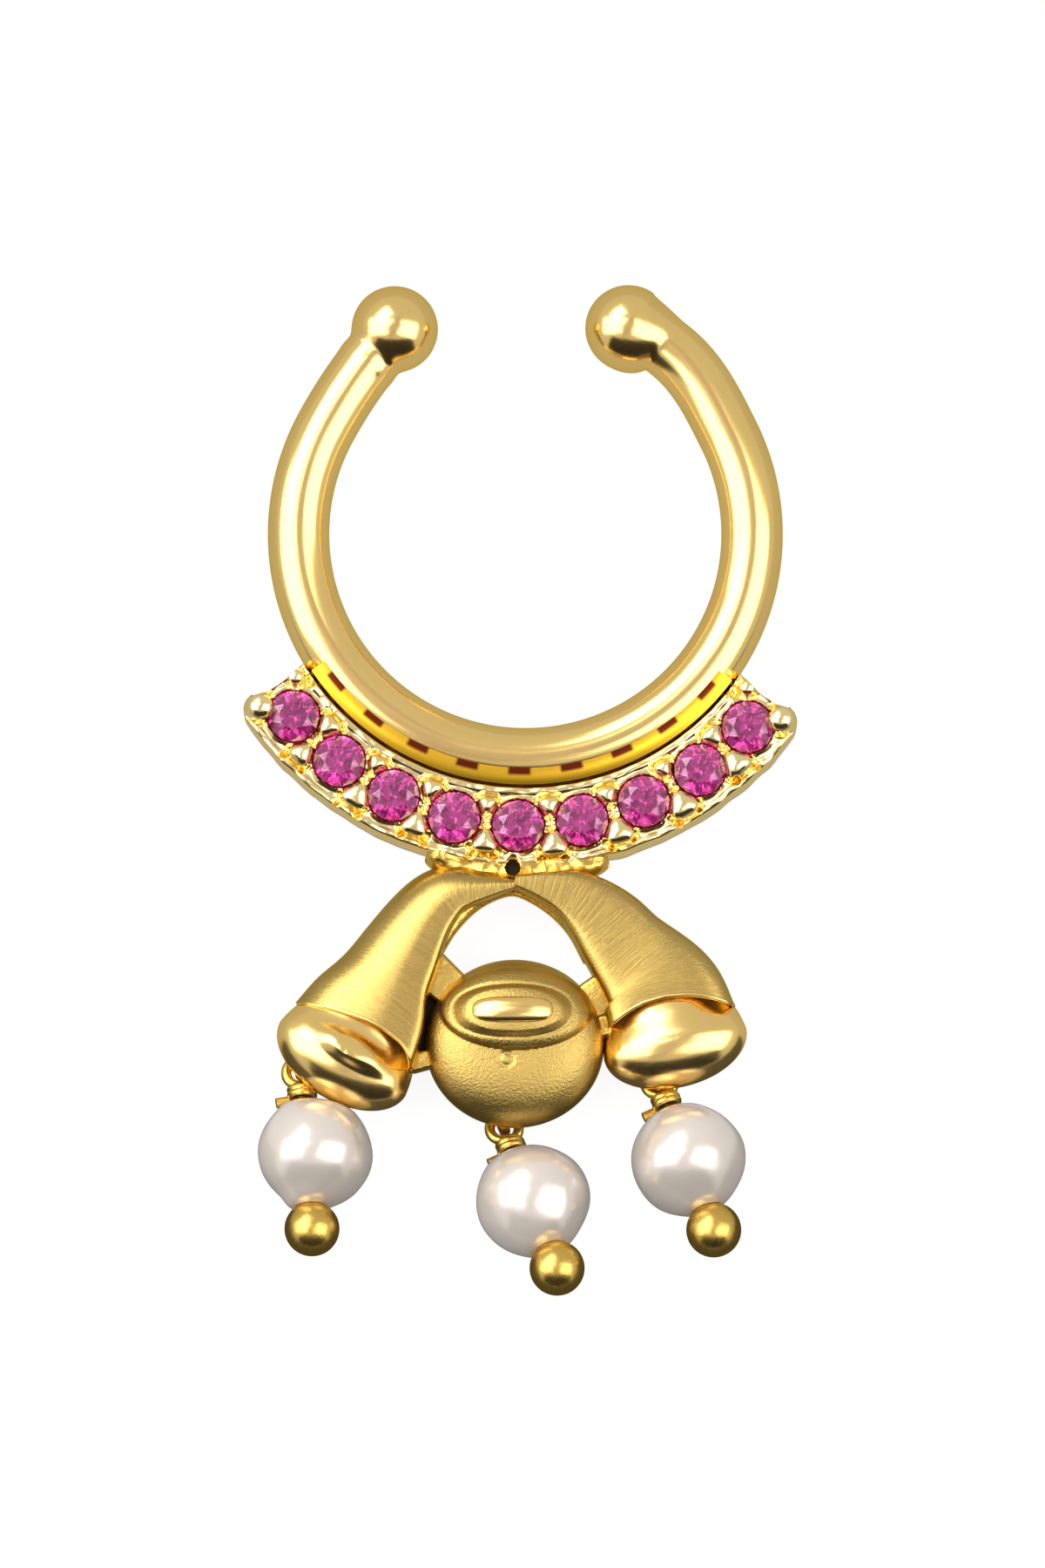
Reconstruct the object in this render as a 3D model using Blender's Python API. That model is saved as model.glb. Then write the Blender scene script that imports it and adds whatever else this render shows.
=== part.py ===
"""Clip-on septum ring: an open gold ring, a crescent of nine round stones and three cast buds with drops.

The piece lies on its back on a surface, as a loose ring does. +Z is its front, and +Y runs from the
drops to the open end of the ring. Lengths are in metres and angles in degrees until they are used.
"""

import math
from collections import namedtuple

import bmesh
import bpy
from mathutils import Matrix, Vector

MM = 0.001

# Ring: a round wire bent to an open C, with a ball at each end
RING_BORE = 9.02 * MM
RING_WIRE = 1.42 * MM
BALL_DIAMETER = 2.0 * MM
LEFT_END_ANGLE = 31.6
RIGHT_END_ANGLE = 26.3
SPRUNG_ANGLE = 62.0
LEFT_ARM_SPRUNG_OUT = 0.40 * MM
RIGHT_ARM_SPRUNG_OUT = 0.07 * MM

# Stones: round brilliants
STONE_COUNT = 9
STONE_DIAMETER = 1.18 * MM
STONE_GAP = 0.30 * MM
STONE_CROWN = 0.20 * MM
STONE_GIRDLE = 0.05 * MM
STONE_PAVILION = 0.50 * MM
STONE_TABLE_SHARE = 0.56
STONE_KITE_SHARE = 0.82
STONE_PAVILION_SPLIT = 0.28
SEAT_CLEARANCE = 0.04 * MM

# Crescent: a flat bar soldered round the bottom of the ring
CRESCENT_WIDTH = 1.83 * MM
CRESCENT_THICKNESS = 1.35 * MM
CRESCENT_BELOW_RING_TOP = 0.06 * MM
CRESCENT_TIP_MARGIN = 0.35 * MM
CRESCENT_TURN = -1.4
CRESCENT_CORNER = 0.45 * MM
SOLDER_BITE = 0.10 * MM
BEAD_DIAMETER = 0.54 * MM
BEAD_SINK = 0.06 * MM
BEAD_OFF_STONE_LINE = 0.455 * MM
TIP_BEAD_DIAMETER = 0.68 * MM
TIP_BEAD_INSET = 0.44 * MM

# Cast buds: two horns with a polished bulb in each mouth, and a round bud between them
CASTING_BACK_HEIGHT = 1.15 * MM
CASTING_AXIS_X = -0.24 * MM
CROTCH_BELOW_CRESCENT = 0.26 * MM
HORN_REACH = 3.68 * MM
HORN_DROP = 3.64 * MM
HORN_MOUTH_WIDTH = 3.22 * MM
HORN_MOUTH_HEIGHT = 1.15 * MM
HORN_NECK_HEIGHT = 0.52 * MM
SECTION_FULLNESS = 2.5
LIP_OVERHANG = 0.10 * MM
LIP_WIDTH = 0.70 * MM
BULB_LENGTH = 3.34 * MM
BULB_WIDTH = 1.98 * MM
BULB_DOME = 0.86 * MM
BULB_WAIST_HEIGHT = 0.18 * MM
LIP_BACK_STEP = 0.04 * MM
BULB_BACK_STEP = 0.09 * MM
BUD_DIAMETER = 3.98 * MM
BUD_DROP = 3.80 * MM
BUD_HEIGHT = 1.12 * MM
BUD_BULB_RISE = 0.84 * MM
BUD_BULB_LENGTH = 3.28 * MM
BUD_BULB_PROUD = 0.16 * MM
BUD_BULB_DOME = 0.55 * MM
WEB_HEIGHT = 0.36 * MM
SHOULDER_WIDTH = 0.46 * MM
SHOULDER_HALF_ANGLE = 15.5
PINHOLE_DIAMETER = 0.36 * MM

# Drops: a drilled pearl on a ball-headed pin, looped through an eye under its bud
PEARL_DIAMETER = 2.62 * MM
PEARL_HOLE = 0.70 * MM
PIN_HEAD_DIAMETER = 1.26 * MM
PIN_WIRE = 0.24 * MM
EYE_WIRE = 0.26 * MM
LINK_PLAY = 0.08 * MM
PIN_PLAY = 0.04 * MM
WRAP_BITE = 0.012 * MM
LOOP_STEM = 0.20 * MM
TAIL_WIRE = 0.23 * MM
TAIL_LENGTH = 0.62 * MM

# Smoothness
RING_STEP_ANGLE = 6.0
WIRE_SIDES_RESOLUTION = 4
ARC_STEP_ANGLE = 3.0
LOFT_SIDES = 12
TURNED_STEPS = 32

# A station of a horn: its centre as shares of the horn's reach to the side and down, its width as a
# share of the mouth's width and its height as a share of the way from the neck's to the mouth's.
Station = namedtuple("Station", "side down width height")
LEFT_HORN = (
    Station(0.00, 0.00, 0.14, 0.00),
    Station(0.20, 0.03, 0.27, 0.00),
    Station(0.44, 0.09, 0.41, 0.08),
    Station(0.60, 0.26, 0.50, 0.20),
    Station(0.70, 0.44, 0.59, 0.36),
    Station(0.80, 0.62, 0.68, 0.56),
    Station(0.90, 0.81, 0.86, 0.82),
    Station(1.00, 1.00, 1.00, 1.00),
)
RIGHT_HORN = (
    Station(0.00, 0.00, 0.14, 0.00),
    Station(0.19, 0.06, 0.27, 0.00),
    Station(0.41, 0.16, 0.44, 0.08),
    Station(0.60, 0.34, 0.58, 0.22),
    Station(0.70, 0.49, 0.65, 0.38),
    Station(0.83, 0.65, 0.76, 0.58),
    Station(0.94, 0.82, 0.91, 0.84),
    Station(1.00, 1.00, 1.00, 1.00),
)

# Horns: how far the mouth lies to the side and down and its width, as shares of the named sizes, the
# turn of its rim, and the place of its bulb from the mouth, as shares of the bulb's width
Horn = namedtuple("Horn", "name sign stations reach drop mouth rim_turn bulb_side bulb_down bulb_turn")
HORNS = (
    Horn("left", -1, LEFT_HORN, 1.0, 1.0, 1.0, -30.0, 0.126, 0.253, -31.0),
    Horn("right", 1, RIGHT_HORN, 0.973, 0.868, 0.957, 10.0, 0.045, 0.333, 13.0),
)

# A dome: its oval's length and width, the height of its widest level over the casting's back, its rise
# over that level, and how far its own flat back stands in from the casting's
Dome = namedtuple("Dome", "length width waist rise back_step")

# Webs of metal between a horn and the bud: the horn, its station, how far towards the horn's inner edge
# the web starts as a share of its half width, and the web's width as a share of the bud's diameter
Web = namedtuple("Web", "horn station inward width")
WEBS = (
    Web(0, 4, 0.0, 0.21),
    Web(0, 7, 0.9, 0.10),
    Web(1, 5, 0.4, 0.21),
    Web(1, 7, 0.9, 0.11),
)

# Drops: where each eye is from the middle of what carries it, as shares of that piece's length and
# width, and its height as a share of the casting's; the lean of the pin from straight down; and how
# far off its middle the pearl is drilled, as a share of its diameter
Drop = namedtuple("Drop", "name side down height lean off_middle")
DROPS = (
    Drop("left", -0.30, 0.0, 0.62, 4.4, -0.076),
    Drop("centre", -0.086, 0.408, 0.40, 20.0, -0.015),
    Drop("right", -0.138, 0.275, 0.65, 19.5, 0.0),
)

RING_RADIUS = RING_BORE / 2 + RING_WIRE / 2
RING_HEIGHT = BALL_DIAMETER / 2
CRESCENT_INNER = RING_RADIUS + RING_WIRE / 2
CRESCENT_OUTER = CRESCENT_INNER + CRESCENT_WIDTH
CRESCENT_TOP = RING_HEIGHT + RING_WIRE / 2 - CRESCENT_BELOW_RING_TOP
STONE_LINE = (CRESCENT_INNER + CRESCENT_OUTER) / 2
STONE_PITCH_ANGLE = math.degrees((STONE_DIAMETER + STONE_GAP) / STONE_LINE)
CRESCENT_HALF_ANGLE = STONE_PITCH_ANGLE * (STONE_COUNT - 1) / 2 + math.degrees(
    (STONE_DIAMETER / 2 + CRESCENT_TIP_MARGIN) / STONE_LINE
)
CROTCH = Vector((CASTING_AXIS_X, -CRESCENT_OUTER - CROTCH_BELOW_CRESCENT, CASTING_BACK_HEIGHT))
BUD_CENTRE = CROTCH - Vector((0, BUD_DROP, 0))
LINK_RADIUS = (PIN_WIRE + EYE_WIRE) / 2 + LINK_PLAY
PEARL_RADIUS = PEARL_DIAMETER / 2
WRAP_RADIUS = PIN_WIRE - WRAP_BITE
WELD_DISTANCE = 0.001 * MM

# Colours as linear RGB: warm gold plate, magenta stones and cream pearls
GOLD = (0.70, 0.45, 0.11, 1.0)
MAGENTA = (0.42, 0.03, 0.24, 1.0)
CREAM = (0.78, 0.72, 0.62, 1.0)


def fresh_collection(name):
    made = bpy.data.collections.new(name)
    bpy.context.scene.collection.children.link(made)
    return made


def material(name, colour, roughness, metallic):
    made = bpy.data.materials.new(name)
    made.use_nodes = True
    shader = made.node_tree.nodes["Principled BSDF"]
    shader.inputs["Base Color"].default_value = colour
    shader.inputs["Roughness"].default_value = roughness
    shader.inputs["Metallic"].default_value = metallic
    made.diffuse_color = colour
    return made


def place(obj, collection, helper=False):
    """Moves an object to a collection; a helper only shapes other objects and isn't a piece itself."""
    for old in list(obj.users_collection):
        old.objects.unlink(obj)
    collection.objects.link(obj)
    obj.hide_render = helper
    if helper:
        obj.display_type = "WIRE"
    return obj


def object_of(name, bm, collection, helper=False):
    bmesh.ops.recalc_face_normals(bm, faces=bm.faces[:])
    mesh = bpy.data.meshes.new(name)
    bm.to_mesh(mesh)
    bm.free()
    return place(bpy.data.objects.new(name, mesh), collection, helper)


def ball(name, centre, diameter, collection, helper=True, segments=20, rings=12):
    bm = bmesh.new()
    bmesh.ops.create_uvsphere(bm, u_segments=segments, v_segments=rings, radius=diameter / 2)
    bmesh.ops.translate(bm, verts=bm.verts[:], vec=centre)
    return object_of(name, bm, collection, helper)


def rod(name, start, end, diameter, collection, helper=True, sides=10):
    """A straight round bar between two points."""
    axis = Vector(end) - Vector(start)
    bm = bmesh.new()
    bmesh.ops.create_cone(
        bm, cap_ends=True, segments=sides, radius1=diameter / 2, radius2=diameter / 2, depth=axis.length
    )
    turn = Vector((0, 0, 1)).rotation_difference(axis).to_matrix().to_4x4()
    middle = (Vector(start) + Vector(end)) / 2
    bmesh.ops.transform(bm, matrix=Matrix.Translation(middle) @ turn, verts=bm.verts[:])
    return object_of(name, bm, collection, helper)


def wire_ring(name, matrix, radius, wire, collection, helper=True, segments=16, sides=8):
    """A closed ring of round wire, about the local Z axis of the matrix."""
    bpy.ops.mesh.primitive_torus_add(
        major_segments=segments, minor_segments=sides, major_radius=radius, minor_radius=wire / 2
    )
    made = bpy.context.active_object
    made.name = name
    made.data.transform(matrix)
    return place(made, collection, helper)


def mesh_from_curve(curve_object, collection, helper=True):
    """Turns a curve into a mesh with its caps welded on, so that it can be joined."""
    name = curve_object.name
    bpy.context.view_layer.update()
    graph = bpy.context.evaluated_depsgraph_get()
    mesh = bpy.data.meshes.new_from_object(curve_object.evaluated_get(graph))
    world = curve_object.matrix_world.copy()
    bpy.data.objects.remove(curve_object)
    bm = bmesh.new()
    bm.from_mesh(mesh)
    bpy.data.meshes.remove(mesh)
    bmesh.ops.remove_doubles(bm, verts=bm.verts[:], dist=WELD_DISTANCE)
    made = object_of(name, bm, collection, helper)
    made.matrix_world = world
    return made


def curve_object(name, points, collection, cyclic=False, dimensions="3D"):
    data = bpy.data.curves.new(name, "CURVE")
    data.dimensions = dimensions
    spline = data.splines.new("POLY")
    spline.points.add(len(points) - 1)
    for target, point in zip(spline.points, points):
        target.co = (*point, 1.0)
    spline.use_cyclic_u = cyclic
    return place(bpy.data.objects.new(name, data), collection)


def plate(name, outline, bottom, top, collection, helper=True):
    """A flat plate of the outline, between two heights."""
    flat = curve_object(name, [(x, y, 0) for x, y in outline], collection, True, "2D")
    flat.data.fill_mode = "BOTH"
    flat.data.extrude = (top - bottom) / 2
    flat.location.z = (top + bottom) / 2
    return mesh_from_curve(flat, collection, helper)


def down_polar(radius, angle):
    """A place on the ring's plane, by its distance from the ring's centre and angle from straight down."""
    turned = math.radians(angle + CRESCENT_TURN)
    return radius * math.sin(turned), -radius * math.cos(turned)


def arc(radius, first, last):
    steps = max(2, round(abs(last - first) / ARC_STEP_ANGLE))
    return [down_polar(radius, first + (last - first) * i / steps) for i in range(steps + 1)]


def ring_point(angle):
    """The wire's centre at an angle from the top, counted to the left; the two arms are sprung open."""
    radius = RING_RADIUS
    from_right = 360 - angle
    if angle < SPRUNG_ANGLE:
        share = (SPRUNG_ANGLE - angle) / (SPRUNG_ANGLE - LEFT_END_ANGLE)
        radius += LEFT_ARM_SPRUNG_OUT * share**2
    elif from_right < SPRUNG_ANGLE:
        share = (SPRUNG_ANGLE - from_right) / (SPRUNG_ANGLE - RIGHT_END_ANGLE)
        radius += RIGHT_ARM_SPRUNG_OUT * share**2
    turned = math.radians(angle)
    return Vector((-radius * math.sin(turned), radius * math.cos(turned), RING_HEIGHT))


def make_ring(collection):
    """The open wire ring, which the other soldered pieces are joined to."""
    last = 360 - RIGHT_END_ANGLE
    steps = round((last - LEFT_END_ANGLE) / RING_STEP_ANGLE)
    angles = [LEFT_END_ANGLE + (last - LEFT_END_ANGLE) * i / steps for i in range(steps + 1)]
    wire = curve_object("gold_frame", [ring_point(angle) for angle in angles], collection)
    wire.data.bevel_depth = RING_WIRE / 2
    wire.data.bevel_resolution = WIRE_SIDES_RESOLUTION
    wire.data.use_fill_caps = True
    return mesh_from_curve(wire, collection, helper=False)


def make_ring_balls(collection):
    ball("left_ball", ring_point(LEFT_END_ANGLE), BALL_DIAMETER, collection)
    ball("right_ball", ring_point(360 - RIGHT_END_ANGLE), BALL_DIAMETER, collection)


def crescent_outline():
    """An arc-shaped bar whose outer corners are rounded and whose inner edge bites into the ring."""
    half = CRESCENT_HALF_ANGLE
    corner_centre = CRESCENT_OUTER - CRESCENT_CORNER
    corner_angle = math.degrees(CRESCENT_CORNER / CRESCENT_OUTER)
    corner = []
    for turn in (90, 67.5, 45, 22.5, 0):
        across = math.radians(turn)
        corner.append((corner_centre + CRESCENT_CORNER * math.sin(across), corner_angle * math.cos(across)))
    right_corner = [down_polar(radius, half - corner_angle + beyond) for radius, beyond in corner]
    left_corner = [down_polar(radius, corner_angle - half - beyond) for radius, beyond in reversed(corner)]
    outer = arc(CRESCENT_OUTER, corner_angle - half, half - corner_angle)[1:-1]
    inner = arc(CRESCENT_INNER - SOLDER_BITE, half, -half)
    return left_corner + outer + right_corner + inner


def stone_angles():
    middle = (STONE_COUNT - 1) / 2
    return [STONE_PITCH_ANGLE * (i - middle) for i in range(STONE_COUNT)]


def make_crescent(collection):
    bottom = CRESCENT_TOP - CRESCENT_THICKNESS
    plate("crescent", crescent_outline(), bottom, CRESCENT_TOP, collection)
    bead_height = CRESCENT_TOP - BEAD_SINK
    for i, angle in enumerate(stone_angles()[:-1]):
        for side in (-1, 1):
            x, y = down_polar(STONE_LINE + side * BEAD_OFF_STONE_LINE, angle + STONE_PITCH_ANGLE / 2)
            name = f"bead_{i}_{'inner' if side < 0 else 'outer'}"
            ball(name, (x, y, bead_height), BEAD_DIAMETER, collection, segments=10, rings=6)
    inset = TIP_BEAD_DIAMETER / 2
    for side in (-1, 1):
        angle = side * (CRESCENT_HALF_ANGLE - math.degrees(inset / STONE_LINE))
        x, y = down_polar(CRESCENT_OUTER - TIP_BEAD_INSET, angle)
        ball(f"tip_bead_{side}", (x, y, bead_height), TIP_BEAD_DIAMETER, collection, segments=12, rings=8)


def stone_mesh(grow):
    """A round brilliant with its girdle's top at z = 0: table, 8 stars, 8 kites, 16 upper halves and below.

    The kites and the pavilion's main facets are flat, because each ring of points between them lies
    on the planes from the table, or the culet, to the girdle.
    """
    radius = STONE_DIAMETER / 2 + grow
    crown = STONE_CROWN + grow
    girdle = STONE_GIRDLE + grow
    pavilion = STONE_PAVILION + grow
    table = STONE_TABLE_SHARE
    crown_mid = STONE_KITE_SHARE
    pavilion_mid = STONE_PAVILION_SPLIT
    half_turn = math.pi / 8
    bm = bmesh.new()

    def ring(count, share, height, offset):
        for i in range(count):
            angle = 2 * math.pi * i / count + offset
            bm.verts.new((radius * share * math.cos(angle), radius * share * math.sin(angle), height))

    ring(8, table, crown, 0)
    ring(8, crown_mid, crown * (1 - crown_mid * math.cos(half_turn)) / (1 - table), half_turn)
    ring(16, 1, grow, 0)
    ring(16, 1, -girdle, 0)
    ring(8, pavilion_mid, -girdle - pavilion * (1 - pavilion_mid * math.cos(half_turn)), half_turn)
    bm.verts.new((0, 0, -girdle - pavilion))
    bmesh.ops.convex_hull(bm, input=bm.verts[:])
    return bm


def make_stones(collection, look):
    for i, angle in enumerate(stone_angles()):
        stone = object_of(f"stone_{i + 1}", stone_mesh(0), collection)
        stone.location = (*down_polar(STONE_LINE, angle), CRESCENT_TOP)
        stone.rotation_euler.z = math.radians(angle)
        stone.data.materials.append(look)


def make_seat_cutters(collection):
    for i, angle in enumerate(stone_angles()):
        cutter = object_of(f"seat_cutter_{i + 1}", stone_mesh(SEAT_CLEARANCE), collection, True)
        cutter.location = (*down_polar(STONE_LINE, angle), CRESCENT_TOP)
        cutter.rotation_euler.z = math.radians(angle)


def make_pinhole_cutter(collection):
    """The small hole left between the crescent and the tops of the horns."""
    hole = Vector((CROTCH.x, -CRESCENT_OUTER, 0))
    over = Vector((0, 0, CRESCENT_TOP + STONE_CROWN))
    rod("pinhole_cutter", hole - over, hole + over, PINHOLE_DIAMETER, collection, sides=12)


def half_section(width, height):
    """Points over a full, flat-backed dome from one side of its base to the other."""
    points = []
    for i in range(LOFT_SIDES + 1):
        angle = math.pi * i / LOFT_SIDES
        across, up = math.cos(angle), max(0.0, math.sin(angle))
        power = 2 / SECTION_FULLNESS
        side = math.copysign(abs(across) ** power, across)
        points.append((side * width / 2, height * up**power))
    return points


def loft(name, sections, collection):
    """Joins sections of equal point counts, each a list of places, into one closed solid."""
    bm = bmesh.new()
    loops = [[bm.verts.new(point) for point in section] for section in sections]
    count = len(loops[0])
    for one, two in zip(loops, loops[1:]):
        for i in range(count):
            j = (i + 1) % count
            bm.faces.new((one[i], one[j], two[j], two[i]))
    bm.faces.new(loops[0])
    bm.faces.new(loops[-1])
    bmesh.ops.triangulate(bm, faces=bm.faces[:])
    return object_of(name, bm, collection, helper=True)


def horn_stations(horn):
    """Each station's centre, its direction across the horn to the right, its width and its height."""
    centres = []
    for station in horn.stations:
        side = horn.sign * station.side * horn.reach * HORN_REACH
        centres.append(CROTCH + Vector((side, -station.down * horn.drop * HORN_DROP, 0)))
    rim = math.radians(horn.rim_turn)
    found = []
    for i, (station, centre) in enumerate(zip(horn.stations, centres)):
        along = centres[min(i + 1, len(centres) - 1)] - centres[max(i - 1, 0)]
        across = Vector((-along.y, along.x, 0)).normalized()
        if i == len(centres) - 1:
            across = Vector((math.cos(rim), math.sin(rim), 0))
        height = HORN_NECK_HEIGHT + station.height * (HORN_MOUTH_HEIGHT - HORN_NECK_HEIGHT)
        found.append((centre, across, station.width * horn.mouth * HORN_MOUTH_WIDTH, height))
    return found


def bulb_base(horn):
    """The middle of the bulb in a horn's mouth, on the casting's back."""
    mouth = horn_stations(horn)[-1][0]
    return mouth + Vector((horn.sign * horn.bulb_side, -horn.bulb_down, 0)) * BULB_WIDTH


def make_horn(horn, collection):
    """A cast horn that widens from the crotch to its mouth, with a polished bulb in the mouth."""
    sections = []
    for centre, across, width, height in horn_stations(horn):
        shape = half_section(width, height)
        sections.append([centre + across * side + Vector((0, 0, up)) for side, up in shape])
    loft(f"{horn.name}_horn", sections, collection)
    mouth, _, width, height = horn_stations(horn)[-1]
    lip = Dome(width + 2 * LIP_OVERHANG, LIP_WIDTH, 0, height + LIP_OVERHANG, LIP_BACK_STEP)
    make_dome(f"{horn.name}_lip", mouth, horn.rim_turn, lip, collection)
    bulb = Dome(BULB_LENGTH, BULB_WIDTH, BULB_WAIST_HEIGHT, BULB_DOME, BULB_BACK_STEP)
    make_dome(f"{horn.name}_bulb", bulb_base(horn), horn.bulb_turn, bulb, collection)


def make_dome(name, base, turn, dome, collection):
    """An oval dome with a flat back, whose middle is over the base on the casting's back."""
    bm = bmesh.new()
    bmesh.ops.create_uvsphere(bm, u_segments=20, v_segments=10, radius=0.5)
    stretch = Matrix.Diagonal((dome.length, dome.width, 2 * dome.rise, 1))
    turned = Matrix.Rotation(math.radians(turn), 4, "Z")
    lifted = Matrix.Translation(base + Vector((0, 0, dome.waist)))
    bmesh.ops.transform(bm, matrix=lifted @ turned @ stretch, verts=bm.verts[:])
    cut = bmesh.ops.bisect_plane(
        bm,
        geom=bm.verts[:] + bm.edges[:] + bm.faces[:],
        dist=WELD_DISTANCE / 10,
        plane_co=(0, 0, CASTING_BACK_HEIGHT + dome.back_step),
        plane_no=(0, 0, -1),
        clear_outer=True,
    )
    rim = [part for part in cut["geom_cut"] if isinstance(part, bmesh.types.BMEdge)]
    if rim:
        bmesh.ops.contextual_create(bm, geom=rim)
    return object_of(name, bm, collection, helper=True)


def make_bud(collection):
    """The round bud between the horns: a turned dome with an oval bulb near its top edge."""
    bm = bmesh.new()
    profile = half_section(BUD_DIAMETER, BUD_HEIGHT)[: LOFT_SIDES // 2 + 1]
    points = [(0.0, 0.0)] + profile
    points[-1] = (0.0, BUD_HEIGHT)
    verts = [bm.verts.new(BUD_CENTRE + Vector((side, 0, up))) for side, up in points]
    edges = [bm.edges.new(pair) for pair in zip(verts, verts[1:])]
    bmesh.ops.spin(
        bm,
        geom=verts + edges,
        cent=BUD_CENTRE,
        axis=(0, 0, 1),
        angle=2 * math.pi,
        steps=TURNED_STEPS,
        use_merge=True,
    )
    bmesh.ops.remove_doubles(bm, verts=bm.verts[:], dist=WELD_DISTANCE)
    object_of("bud", bm, collection, helper=True)
    base = BUD_CENTRE + Vector((0, BUD_BULB_RISE, 0))
    waist = BUD_HEIGHT + BUD_BULB_PROUD - BUD_BULB_DOME
    bulb = Dome(BUD_BULB_LENGTH, BULB_WIDTH, waist, BUD_BULB_DOME, BULB_BACK_STEP)
    make_dome("bud_bulb", base, 0.0, bulb, collection)


def make_webs(collection):
    """Small webs that carry the bud between the horns, and the shoulder that carries the horns."""
    for i, web in enumerate(WEBS):
        horn = HORNS[web.horn]
        centre, across, width, _ = horn_stations(horn)[web.station]
        foot = centre - horn.sign * across * web.inward * width / 2
        half_width = web.width * BUD_DIAMETER / 2
        aside = (BUD_CENTRE - foot).cross(Vector((0, 0, 1))).normalized() * half_width
        outline = [foot + aside, BUD_CENTRE + aside, BUD_CENTRE - aside, foot - aside]
        back = CASTING_BACK_HEIGHT + LIP_BACK_STEP / 2
        top = CASTING_BACK_HEIGHT + WEB_HEIGHT
        plate(f"web_{i}", [(corner.x, corner.y) for corner in outline], back, top, collection)
    half = SHOULDER_HALF_ANGLE
    inner = arc(CRESCENT_OUTER - SOLDER_BITE, half, -half)
    outer = arc(CRESCENT_OUTER + SHOULDER_WIDTH, -half, half)
    low = CRESCENT_TOP - CRESCENT_THICKNESS / 2
    plate("shoulder", outer + inner, low, CASTING_BACK_HEIGHT + WEB_HEIGHT, collection)


def eye_place(drop):
    """The middle of a drop's eye, under the bulb or the bud that carries it."""
    height = drop.height * CASTING_BACK_HEIGHT
    for horn in HORNS:
        if horn.name == drop.name:
            base = bulb_base(horn)
            return Vector((base.x + drop.side * BULB_LENGTH, base.y - drop.down * BULB_WIDTH, height))
    return Vector((BUD_CENTRE.x + drop.side * BUD_DIAMETER, BUD_CENTRE.y - drop.down * BUD_DIAMETER, height))


def drop_matrix(drop):
    """The frame of a drop, whose origin is on the pin's axis beside the pearl's middle; +Y is to the eye.

    The pearl lies on the surface, so the pin rises from its eye to its head.
    """
    reach = loop_place() + LINK_RADIUS
    eye = eye_place(drop)
    rise = math.asin((PEARL_RADIUS - eye.z) / reach)
    turned = Matrix.Rotation(math.radians(drop.lean), 4, "Z") @ Matrix.Rotation(-rise, 4, "X")
    return Matrix.Translation(eye) @ turned @ Matrix.Translation((0, -reach, 0))


def pearl_middle(drop):
    """The pearl's middle, which is beside the pin's axis where its hole is drilled off the middle."""
    return drop_matrix(drop) @ Vector((-drop.off_middle * PEARL_DIAMETER, 0, 0))


def pearl_mouth():
    """How far from the pearl's middle the rim of its hole lies, along the hole."""
    return math.sqrt(PEARL_RADIUS**2 - (PEARL_HOLE / 2) ** 2)


def head_place():
    """The pin's ball sits in the mouth of the pearl's hole."""
    seat = math.sqrt((PIN_HEAD_DIAMETER / 2 + PIN_PLAY) ** 2 - (PEARL_HOLE / 2) ** 2)
    return -pearl_mouth() - seat


def wrap_place():
    """The turn of wire round the stem, which rests on the pearl."""
    reach = PEARL_RADIUS + PIN_WIRE / 2 + PIN_PLAY
    return math.sqrt(reach**2 - WRAP_RADIUS**2)


def loop_place():
    return wrap_place() + LOOP_STEM + LINK_RADIUS


def make_eye(drop, collection):
    """A wire eye under a bud, upright and in line with the pin, with a post up into the casting."""
    local = Matrix.Translation((0, loop_place() + LINK_RADIUS, 0)) @ Matrix.Rotation(math.pi / 2, 4, "Y")
    matrix = drop_matrix(drop) @ local
    wire_ring(f"{drop.name}_eye", matrix, LINK_RADIUS, EYE_WIRE, collection)
    centre = matrix.translation
    foot = centre + Vector((0, 0, LINK_RADIUS))
    head = Vector((centre.x, centre.y, CASTING_BACK_HEIGHT + WEB_HEIGHT))
    rod(f"{drop.name}_post", foot, head, EYE_WIRE, collection)


def make_pearl(drop, collection, cutters, look):
    """A pearl and the hole drilled along its pin."""
    name = f"pearl_{drop.name}"
    pearl = ball(name, pearl_middle(drop), PEARL_DIAMETER, collection, helper=False, segments=22, rings=12)
    matrix = drop_matrix(drop)
    start, end = matrix @ Vector((0, -PEARL_DIAMETER, 0)), matrix @ Vector((0, PEARL_DIAMETER, 0))
    drill = rod(f"drill_{drop.name}", start, end, PEARL_HOLE, cutters, sides=14)
    combine(pearl, drill, "DIFFERENCE")
    pearl.data.materials.append(look)


def make_headpin(drop, collection, helpers, look):
    """One wire: a ball head, the pin through the pearl, one wrapped turn with its cut tail, and the loop."""
    matrix = drop_matrix(drop)
    name = f"headpin_{drop.name}"
    head = matrix @ Vector((0, head_place(), 0))
    pin = ball(name, head, PIN_HEAD_DIAMETER, collection, helper=False, segments=18, rings=10)
    wrap, loop = wrap_place(), loop_place()
    stem_end = matrix @ Vector((0, loop - LINK_RADIUS, 0))
    pieces = [rod(f"{name}_wire", head, stem_end, PIN_WIRE, helpers)]
    upright = Matrix.Rotation(math.pi / 2, 4, "X")
    wrapped = matrix @ Matrix.Translation((0, wrap, 0)) @ upright
    pieces.append(wire_ring(f"{name}_wrap", wrapped, WRAP_RADIUS, PIN_WIRE, helpers, segments=14))
    looped = matrix @ Matrix.Translation((0, loop, 0))
    pieces.append(wire_ring(f"{name}_loop", looped, LINK_RADIUS, PIN_WIRE, helpers))
    tail_start = matrix @ Vector((0, wrap, 0))
    tail_end = matrix @ Vector((-TAIL_LENGTH, wrap, 0))
    pieces.append(rod(f"{name}_tail", tail_start, tail_end, TAIL_WIRE, helpers, sides=8))
    for piece in pieces:
        combine(pin, piece, "UNION")
    pin.data.materials.append(look)


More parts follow.
